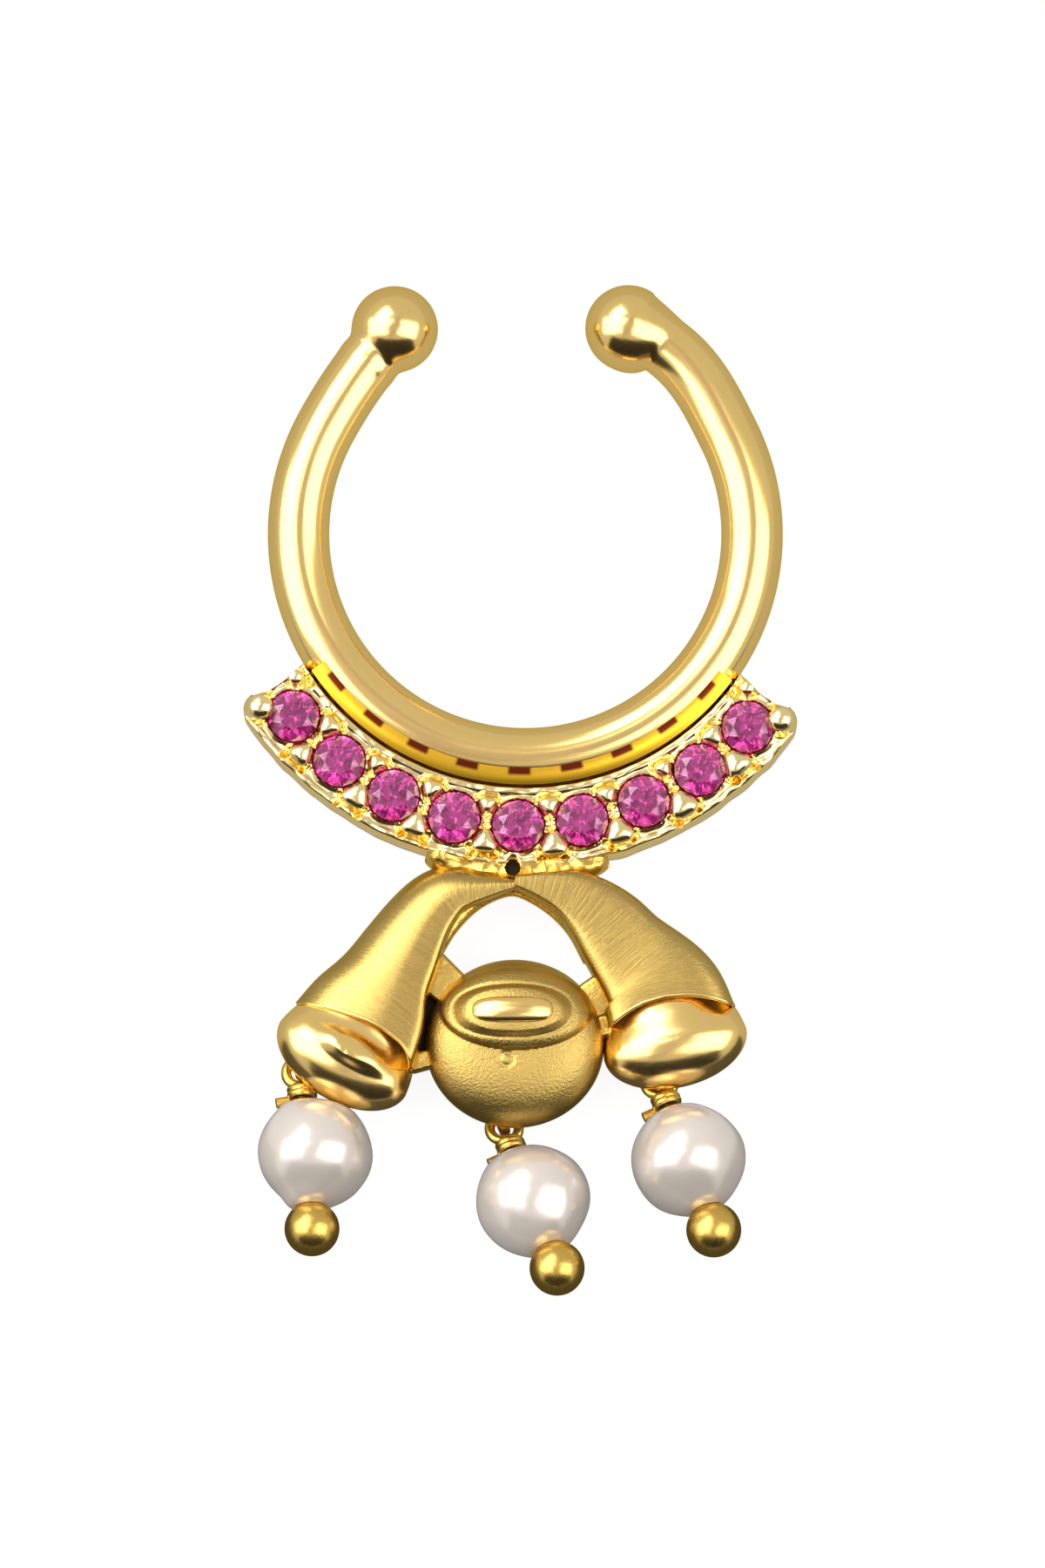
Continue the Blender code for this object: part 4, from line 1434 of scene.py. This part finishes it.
def web_shape():
    bm = new_shape()
    for web in WEBS:
        add_web(bm, *web)
    mark_grain(bm, bm.verts)
    points = [crotch() + Vector((x * MM, y * MM, OPENING_RIM_RISE)) for x, y in OPENING_RIM]
    path = [catmull(points, i / OPENING_RIM_STEPS) for i in range(OPENING_RIM_STEPS + 1)]
    sweep(bm, path, [OPENING_RIM_RADIUS] * len(path), 16)
    return bm


def shoulder_shape():
    """The lumpy strip of solder and cast metal between crescent and horns, pierced by the pinhole."""
    ring, casting = settings().ring, settings().casting
    inner = crescent_outer() - SHOULDER_UNDER_BAR
    hole = pinhole_place()
    bm = new_shape()

    def plan(u, v):
        angle = (2 * u - 1) * SHOULDER_HALF_ANGLE
        outer = crescent_outer() + casting.shoulder * dome(SHOULDER_END * (2 * u - 1), SHOULDER_FULL)
        return down_polar(inner + (outer - inner) * v, angle)

    def place_at(u, v, bore):
        place = plan(u, v)
        away = place - hole
        apart = max(away.length, ring.pinhole / 2)
        if apart < PINHOLE_TAPER:
            share = (apart - ring.pinhole / 2) / (PINHOLE_TAPER - ring.pinhole / 2)
            place = hole + away.normalized() * (bore + (PINHOLE_TAPER - bore) * share)
        return place

    def front(u, v):
        place = place_at(u, v, ring.pinhole / 2)
        edge = min(u, 1 - u) * 2 * math.radians(SHOULDER_HALF_ANGLE) * crescent_outer()
        end_fall = 1 - dome(1 - min(1, edge / SHOULDER_END_WIDTH))
        side_fall = 1 - dome(max(0.0, (v - SHOULDER_FALL_FROM) / (1 - SHOULDER_FALL_FROM)))
        lumps = sum(high * noise.noise(place / apart) for high, apart in (COARSE_LUMPS, FINE_LUMPS))
        top = casting.back + casting.web_height + SHOULDER_TOP
        return place + Vector((0, 0, top + lumps - SHOULDER_FALL * min(1, end_fall + side_fall)))

    def back(u, v):
        return place_at(u, v, PINHOLE_BACK / 2) + Vector((0, 0, SHOULDER_BACK))

    def keep(u, v):
        return (plan(u, v) - hole).length > ring.pinhole / 2

    relief(bm, *SHOULDER_CELLS, front, back, keep=keep)
    return bm


def pinhole_shade_shape():
    """A nearly black disc low in the pinhole: painted shade, so the hole reads dark."""
    bm = new_shape()
    matrix = Matrix.Translation(pinhole_place() + Vector((0, 0, PINHOLE_SHADE_HEIGHT)))
    radius = settings().ring.pinhole / 2 + PINHOLE_SHADE_IN_WALL
    made = bmesh.ops.create_cone(
        bm,
        segments=40,
        radius1=radius,
        radius2=radius * PINHOLE_SHADE_TAPER,
        depth=PINHOLE_SHADE_DEPTH,
        cap_ends=True,
        matrix=matrix,
    )
    mark_grain(bm, made["verts"])
    return bm


def seam_shape():
    """The seam along the wire's flank above the crescent; its grain counts stones along it, to place the
    painted stone reflections.
    """
    ring = settings().ring
    half = crescent_half_angle() * SEAM_REACH
    top = math.radians(SEAM_TOP)
    on_wire = Vector((math.sin(top), math.cos(top))) * (ring.wire / 2)
    high = Vector((wire_radius(), ring.ball / 2)) + on_wire
    low = Vector((crescent_inner() - SEAM_GAP, ring.crescent_top - SEAM_DROP))
    bm = new_shape()

    def front(u, v):
        spot = high.lerp(low, v)
        bulge = SEAM_BULGE * math.sin(math.pi * v)
        return down_polar(spot.x, (2 * u - 1) * half) + Vector((0, 0, spot.y + bulge))

    def back(u, v):
        place = front(u, v)
        return Vector((place.x, place.y, min(low.y, place.z) - SEAM_THICKNESS))

    def grain(u, v, place):
        return (2 * u - 1) * half / stone_pitch(), v, 0

    relief(bm, *SEAM_CELLS, front, back, grain)
    return bm


class SEPTUM_OT_webs(bpy.types.Operator):
    """Make the webs between the buds, the shoulder under the crescent, the seam above it and the painted
    shade in the pinhole and the crevice
    """

    bl_idname = "septum.webs"
    bl_label = "Webs and shoulder"

    def execute(self, context):
        look = rough_cast_gold()
        finish_piece("webs", web_shape(), look, ["gold_frame"])
        finish_piece("shoulder", shoulder_shape(), look, ["gold_frame"], sharp=60)
        # Painted shade: nearly black filler in the pinhole and in the crevice beside the left horn
        dark = painted_shade_black()
        finish_piece("pinhole_painted_shade", pinhole_shade_shape(), dark, ["gold_frame"])
        finish_piece("crevice_painted_shade", crevice_shade_shape(), dark, ["gold_frame"])
        # The seam is coloured with painted reflections of the crescent and the stones
        finish_piece("solder_seam", seam_shape(), seam_gold_painted_reflections(), ["gold_frame"])
        return {"FINISHED"}


# Drops: an eye under each bud, a pearl, and a ball-headed pin wrapped through the eye

WRAP_NEST = 0.012 * MM
HEAD_PLAY_SHARE = 0.2
THIN_WIRE_SIDES = 16
EYE_STEPS = 40
EYE_START = 0.35
POST_STEPS = 6
POST_FLARE = 0.7
PEARL_STEPS = 60
HOLE_STEPS = 12
PEARL_SEGMENTS = 120
# A pearl's dents, wide and small: their depth as a share of its radius, and how far apart they are
WIDE_DENTS = (0.045, 1.3 * MM)
SMALL_DENTS = (0.006, 0.5 * MM)
PEARL_LOWER_SHARE = 0.035
PIN_STEPS = 24
LOOP_STEPS = 44
WRAP_TURNS = 2.5
WRAP_STEPS = 66
TAIL_STEPS = 5


class Drop:
    """One drop: its frame, whose origin is on the pin's axis beside the pearl's middle; +Y is to the eye."""

    def __init__(self, name, base, length_size, width_size, side, down, height, lean, off_middle):
        drops, casting = settings().drops, settings().casting
        self.name = name
        self.off_middle = off_middle * drops.pearl
        self.link = (drops.pin_wire + drops.eye_wire) / 2 + drops.link_play
        self.wrap_radius = drops.pin_wire - WRAP_NEST
        touch = drops.pearl / 2 + drops.pin_wire / 2 + drops.pin_play
        self.wrap = math.sqrt(touch**2 - self.wrap_radius**2)
        self.loop = self.wrap + drops.loop_stem + self.link
        reach = self.loop + self.link
        eye = Vector((base.x + side * length_size, base.y - down * width_size, height * casting.back))
        rise = math.asin((drops.pearl / 2 - eye.z) / reach)
        turned = Matrix.Rotation(math.radians(lean), 4, "Z") @ Matrix.Rotation(-rise, 4, "X")
        self.matrix = Matrix.Translation(eye) @ turned @ Matrix.Translation((0, -reach, 0))

    def head(self):
        drops = settings().drops
        mouth = math.sqrt((drops.pearl / 2) ** 2 - (drops.hole / 2) ** 2)
        ball = drops.head / 2 + HEAD_PLAY_SHARE * drops.pin_play
        return -mouth - math.sqrt(ball**2 - (drops.hole / 2) ** 2)


def all_drops():
    """Each drop: what holds its eye and the eye's place there, then its height, its lean and its pearl's."""
    casting = settings().casting
    left, right = horns()
    bulb = (casting.bulb_length, casting.bulb_width)
    return (
        Drop("left", left.bulb, *bulb, -0.30, 0.0, 0.62, 4.4, -0.076),
        Drop("centre", bud_centre(), casting.bud, casting.bud, -0.086, 0.408, 0.40, 20.0, -0.015),
        Drop("right", right.bulb, *bulb, -0.138, 0.275, 0.65, 19.5, 0.0),
    )


def eye_shape(drop):
    """A soldered wire eye, upright under its bud, with a post up into the casting."""
    drops, casting = settings().drops, settings().casting
    bm = new_shape()
    matrix = drop.matrix @ Matrix.Translation((0, drop.loop + drop.link, 0))
    path = []
    for i in range(EYE_STEPS + 1):
        turn = 2 * math.pi * i / EYE_STEPS + EYE_START
        path.append(matrix @ Vector((0, drop.link * math.cos(turn), drop.link * math.sin(turn))))
    sweep(bm, path, [drops.eye_wire / 2] * len(path), THIN_WIRE_SIDES, up=Vector((1, 0, 0)))
    centre = matrix.translation
    foot = centre + Vector((0, 0, drop.link))
    head = Vector((centre.x, centre.y, casting.back + casting.web_height))
    rise = head - foot
    shares = [i / POST_STEPS for i in range(POST_STEPS + 1)]
    post = [foot + rise * share for share in shares]
    flare = [drops.eye_wire / 2 * (1 + POST_FLARE * ease(share)) for share in shares]
    sweep(bm, post, flare, THIN_WIRE_SIDES, up=Vector((1, 0, 0)))
    return bm


def pearl_shape(drop, seed):
    """A drilled pearl bead: a spun skin with its hole, pulled off the hole's axis and slightly uneven."""
    drops = settings().drops
    radius, hole = drops.pearl / 2, drops.hole / 2
    start = math.asin(hole / radius)
    bm = new_shape()
    verts = []
    for i in range(PEARL_STEPS + 1):
        turn = start + (math.pi - 2 * start) * i / PEARL_STEPS
        verts.append(bm.verts.new((radius * math.sin(turn), radius * math.cos(turn), 0)))
    rim = radius * math.cos(start)
    for i in range(1, HOLE_STEPS):
        verts.append(bm.verts.new((hole, -rim + 2 * rim * i / HOLE_STEPS, 0)))
    edges = [bm.edges.new(pair) for pair in zip(verts, verts[1:] + verts[:1])]
    bmesh.ops.spin(
        bm,
        geom=verts + edges,
        cent=(0, 0, 0),
        axis=(0, 1, 0),
        angle=2 * math.pi,
        steps=PEARL_SEGMENTS,
        use_merge=True,
    )
    shift = Vector((seed * 7.3, seed * 3.1, 0))
    (wide, wide_apart), (small, small_apart) = WIDE_DENTS, SMALL_DENTS
    for vert in bm.verts:
        out = math.hypot(vert.co.x, vert.co.z)
        share = ease((out - hole) / (0.5 * radius))
        bulge = wide * noise.noise(vert.co / wide_apart + shift)
        bulge += small * noise.noise(vert.co / small_apart - shift)
        bulge -= PEARL_LOWER_SHARE * ease(-vert.co.y / radius)
        vert.co *= 1 + bulge * share
        vert.co.x -= drop.off_middle * share
    bmesh.ops.transform(bm, matrix=drop.matrix, verts=bm.verts[:])
    mark_grain(bm, bm.verts)
    return bm


def headpin_shape(drop):
    """The melted ball head and one wire: through the pearl, round its loop, wrapped round itself, cut off."""
    drops = settings().drops
    bm = new_shape()
    head = drop.matrix @ Vector((0, drop.head(), 0))
    add_ball(bm, head, [drops.head / 2] * 3, segments=64, rings=40)
    base = drop.loop - drop.link
    path = [Vector((0, drop.head() + (base - drop.head()) * i / PIN_STEPS, 0)) for i in range(PIN_STEPS)]
    for i in range(LOOP_STEPS + 1):
        turn = -math.pi / 2 + 2 * math.pi * i / LOOP_STEPS
        lift = 0.5 * drops.pin_wire * ease(i / LOOP_STEPS)
        path.append(Vector((drop.link * math.cos(turn), drop.loop + drop.link * math.sin(turn), lift)))
    for i in range(1, WRAP_STEPS + 1):
        share = i / WRAP_STEPS
        turn = math.pi / 2 - 2 * math.pi * WRAP_TURNS * share
        height = base + (drop.wrap - base) * ease(share * 1.05)
        out = drop.wrap_radius * ease(0.35 + share * 4)
        path.append(Vector((out * math.cos(turn), height, out * math.sin(turn))))
    last = path[-1]
    along = Vector((-1, -0.12, 0.1)).normalized()
    path += [last + along * drops.tail * i / TAIL_STEPS for i in range(1, TAIL_STEPS + 1)]
    sweep(bm, [drop.matrix @ place for place in path], [drops.pin_wire / 2] * len(path), THIN_WIRE_SIDES)
    return bm


class SEPTUM_OT_pearls(bpy.types.Operator):
    """Make the three drilled pearls"""

    bl_idname = "septum.pearls"
    bl_label = "Pearls"

    def execute(self, context):
        look = imitation_pearl()
        for seed, drop in enumerate(all_drops()):
            node = f"pearl_{drop.name}"
            finish_piece(f"{drop.name}_pearl", pearl_shape(drop, seed), look, [node])
        return {"FINISHED"}


class SEPTUM_OT_headpins(bpy.types.Operator):
    """Make the eyes under the buds and the pins that hold the pearls"""

    bl_idname = "septum.headpins"
    bl_label = "Eyes and headpins"

    def execute(self, context):
        look = tumbled_pin_gold()
        for drop in all_drops():
            finish_piece(f"{drop.name}_eye", eye_shape(drop), look, ["gold_frame"])
            node = f"headpin_{drop.name}"
            finish_piece(f"{drop.name}_headpin", headpin_shape(drop), look, [node])
        return {"FINISHED"}


# Stage: a light table, three soft boxes and two felt cards, which give the metal its lights and darks

CAMERA_TILT = 7.0
CAMERA_DISTANCE = 0.300
CAMERA_LENS = 300.0
SENSOR = 36.0
CAMERA_CLIP = (0.01, 10.0)
FRAME_CENTRE = Vector((-0.064 * MM, -5.803 * MM, 1.0 * MM))
LIGHT_DISTANCE = 0.60
# A soft box: its angles to the side and up from the camera, its half width and half height, its brightness
LEFT_BOX = (-38.0, 10.0, 21.0, 34.0, 2.2)
RIGHT_BOX = (37.0, 0.0, 20.0, 27.0, 1.9)
FILL_BOX = (-26.0, 44.0, 18.0, 14.0, 3.0)
# A felt card: its angles to the side and up from the camera, its width and height, its colour
LENS_CARD = (-1.0, 6.0, 0.27, 0.66, "B4AEB8")
LOW_CARD = (0.0, -54.5, 1.40, 0.60, "1C1A18")
CARD_DISTANCE = 0.62
TABLE_SIZE = 3.0
FLOOR_DEPTH = 0.02 * MM
TENT_BRIGHTNESS = 0.66
TABLE_GLOW = 0.90
# The grey table that the metal mirrors: its depth, its glow and its near edge's, and where the edge starts
MIRRORED_DEPTH = 0.5 * MM
MIRRORED_TABLE = 0.56
MIRRORED_EDGE = 0.10
MIRRORED_FROM = (-11.9 * MM, -12.7 * MM)
# Watts for each square metre of a soft box whose brightness is 1
AREA_LIGHT_FACTOR = 4.0


def facing(direction, distance):
    """A place that far from the frame's centre in a direction, turned to look back at it."""
    centre = ring_centre() + FRAME_CENTRE
    turn = (-direction).to_track_quat("-Z", "Y").to_matrix().to_4x4()
    return Matrix.Translation(centre + direction * distance) @ turn


def from_camera(sideways, upwards):
    """A direction from the ring, by its angles from the camera's, to the right and up in the picture."""
    tilt = math.radians(upwards - CAMERA_TILT)
    side = math.radians(sideways)
    return Vector((math.sin(side), math.cos(side) * math.sin(tilt), math.cos(side) * math.cos(tilt)))


def add_soft_box(name, sideways, upwards, half_width, half_height, brightness):
    light = bpy.data.lights.new(name, "AREA")
    light.shape = "RECTANGLE"
    light.size = 2 * LIGHT_DISTANCE * math.tan(math.radians(half_width))
    light.size_y = 2 * LIGHT_DISTANCE * math.tan(math.radians(half_height))
    light.energy = AREA_LIGHT_FACTOR * brightness * light.size * light.size_y
    made = bpy.data.objects.new(name, light)
    made.matrix_world = facing(from_camera(sideways, upwards), LIGHT_DISTANCE)
    bpy.context.scene.collection.objects.link(made)


def add_card(name, matrix, width, height, look):
    """A flat card of the stage."""
    bm = bmesh.new()
    bmesh.ops.create_grid(bm, x_segments=1, y_segments=1, size=0.5)
    bmesh.ops.transform(bm, matrix=matrix @ Matrix.Diagonal((width, height, 1, 1)), verts=bm.verts[:])
    mesh = bpy.data.meshes.new(name)
    bm.to_mesh(mesh)
    bm.free()
    mesh.materials.append(look)
    card = bpy.data.objects.new(name, mesh)
    bpy.context.scene.collection.objects.link(card)
    return card


def add_felt_card(name, felt_name, sideways, upwards, width, height, code):
    matrix = facing(from_camera(sideways, upwards), CARD_DISTANCE)
    return add_card(name, matrix, width, height, felt(felt_name, linear(code)))


class SEPTUM_OT_stage(bpy.types.Operator):
    """Make the floor, the soft boxes, the felt cards and the camera"""

    bl_idname = "septum.stage"
    bl_label = "Floor, light and camera"

    def execute(self, context):
        scene = context.scene
        scene.view_settings.view_transform = "Standard"
        floor_place = Matrix.Translation((0, 0, -FLOOR_DEPTH))
        floor = add_card("floor", floor_place, TABLE_SIZE, TABLE_SIZE, light_table())
        floor.visible_glossy = False
        mirrored_place = Matrix.Translation((0, 0, -MIRRORED_DEPTH))
        mirrored = add_card("mirrored_table", mirrored_place, TABLE_SIZE, TABLE_SIZE, mirrored_table())
        lens_card = add_felt_card("lens_card", "grey_felt", *LENS_CARD)
        low_card = add_felt_card("low_card", "black_felt", *LOW_CARD)
        for card in (lens_card, low_card, mirrored):
            card.visible_camera = False
        add_soft_box("left_soft_box", *LEFT_BOX)
        add_soft_box("right_soft_box", *RIGHT_BOX)
        add_soft_box("fill_soft_box", *FILL_BOX)
        world = bpy.data.worlds.new("white_tent")
        world.use_nodes = True
        tent = world.node_tree.nodes["Background"]
        tent.inputs["Strength"].default_value = TENT_BRIGHTNESS
        tent.inputs["Color"].default_value = (1.0, 1.0, 1.0, 1.0)
        scene.world = world
        camera = bpy.data.cameras.new("camera")
        camera.lens = CAMERA_LENS
        camera.sensor_width = SENSOR
        camera.clip_start, camera.clip_end = CAMERA_CLIP
        holder = bpy.data.objects.new("camera", camera)
        holder.matrix_world = facing(from_camera(0, 0), CAMERA_DISTANCE)
        scene.collection.objects.link(holder)
        scene.camera = holder
        return {"FINISHED"}


OPERATORS = (
    SEPTUM_OT_ring,
    SEPTUM_OT_crescent,
    SEPTUM_OT_horns,
    SEPTUM_OT_bud,
    SEPTUM_OT_webs,
    SEPTUM_OT_pearls,
    SEPTUM_OT_headpins,
    SEPTUM_OT_stage,
)


class SEPTUM_PT_panel(bpy.types.Panel):
    """Lists the operators that make the septum ring."""

    bl_idname = "SEPTUM_PT_panel"
    bl_label = "Septum ring"
    bl_space_type = "VIEW_3D"
    bl_region_type = "UI"
    bl_category = "Septum ring"

    def draw(self, context):
        for operator in OPERATORS:
            self.layout.operator(operator.bl_idname)


GROUPS = (SEPTUM_PG_ring, SEPTUM_PG_casting, SEPTUM_PG_drops, SEPTUM_PG_looks, SEPTUM_PG_settings)


def register():
    for made in GROUPS + OPERATORS + (SEPTUM_PT_panel,):
        bpy.utils.register_class(made)
    bpy.types.Scene.septum_ring = bpy.props.PointerProperty(type=SEPTUM_PG_settings)


def unregister():
    del bpy.types.Scene.septum_ring
    for made in reversed(GROUPS + OPERATORS + (SEPTUM_PT_panel,)):
        bpy.utils.unregister_class(made)


def main():
    register()
    bpy.ops.septum.ring()
    bpy.ops.septum.crescent()
    bpy.ops.septum.horns()
    bpy.ops.septum.bud()
    bpy.ops.septum.webs()
    bpy.ops.septum.pearls()
    bpy.ops.septum.headpins()
    bpy.ops.septum.stage()


if __name__ == "__main__":
    main()
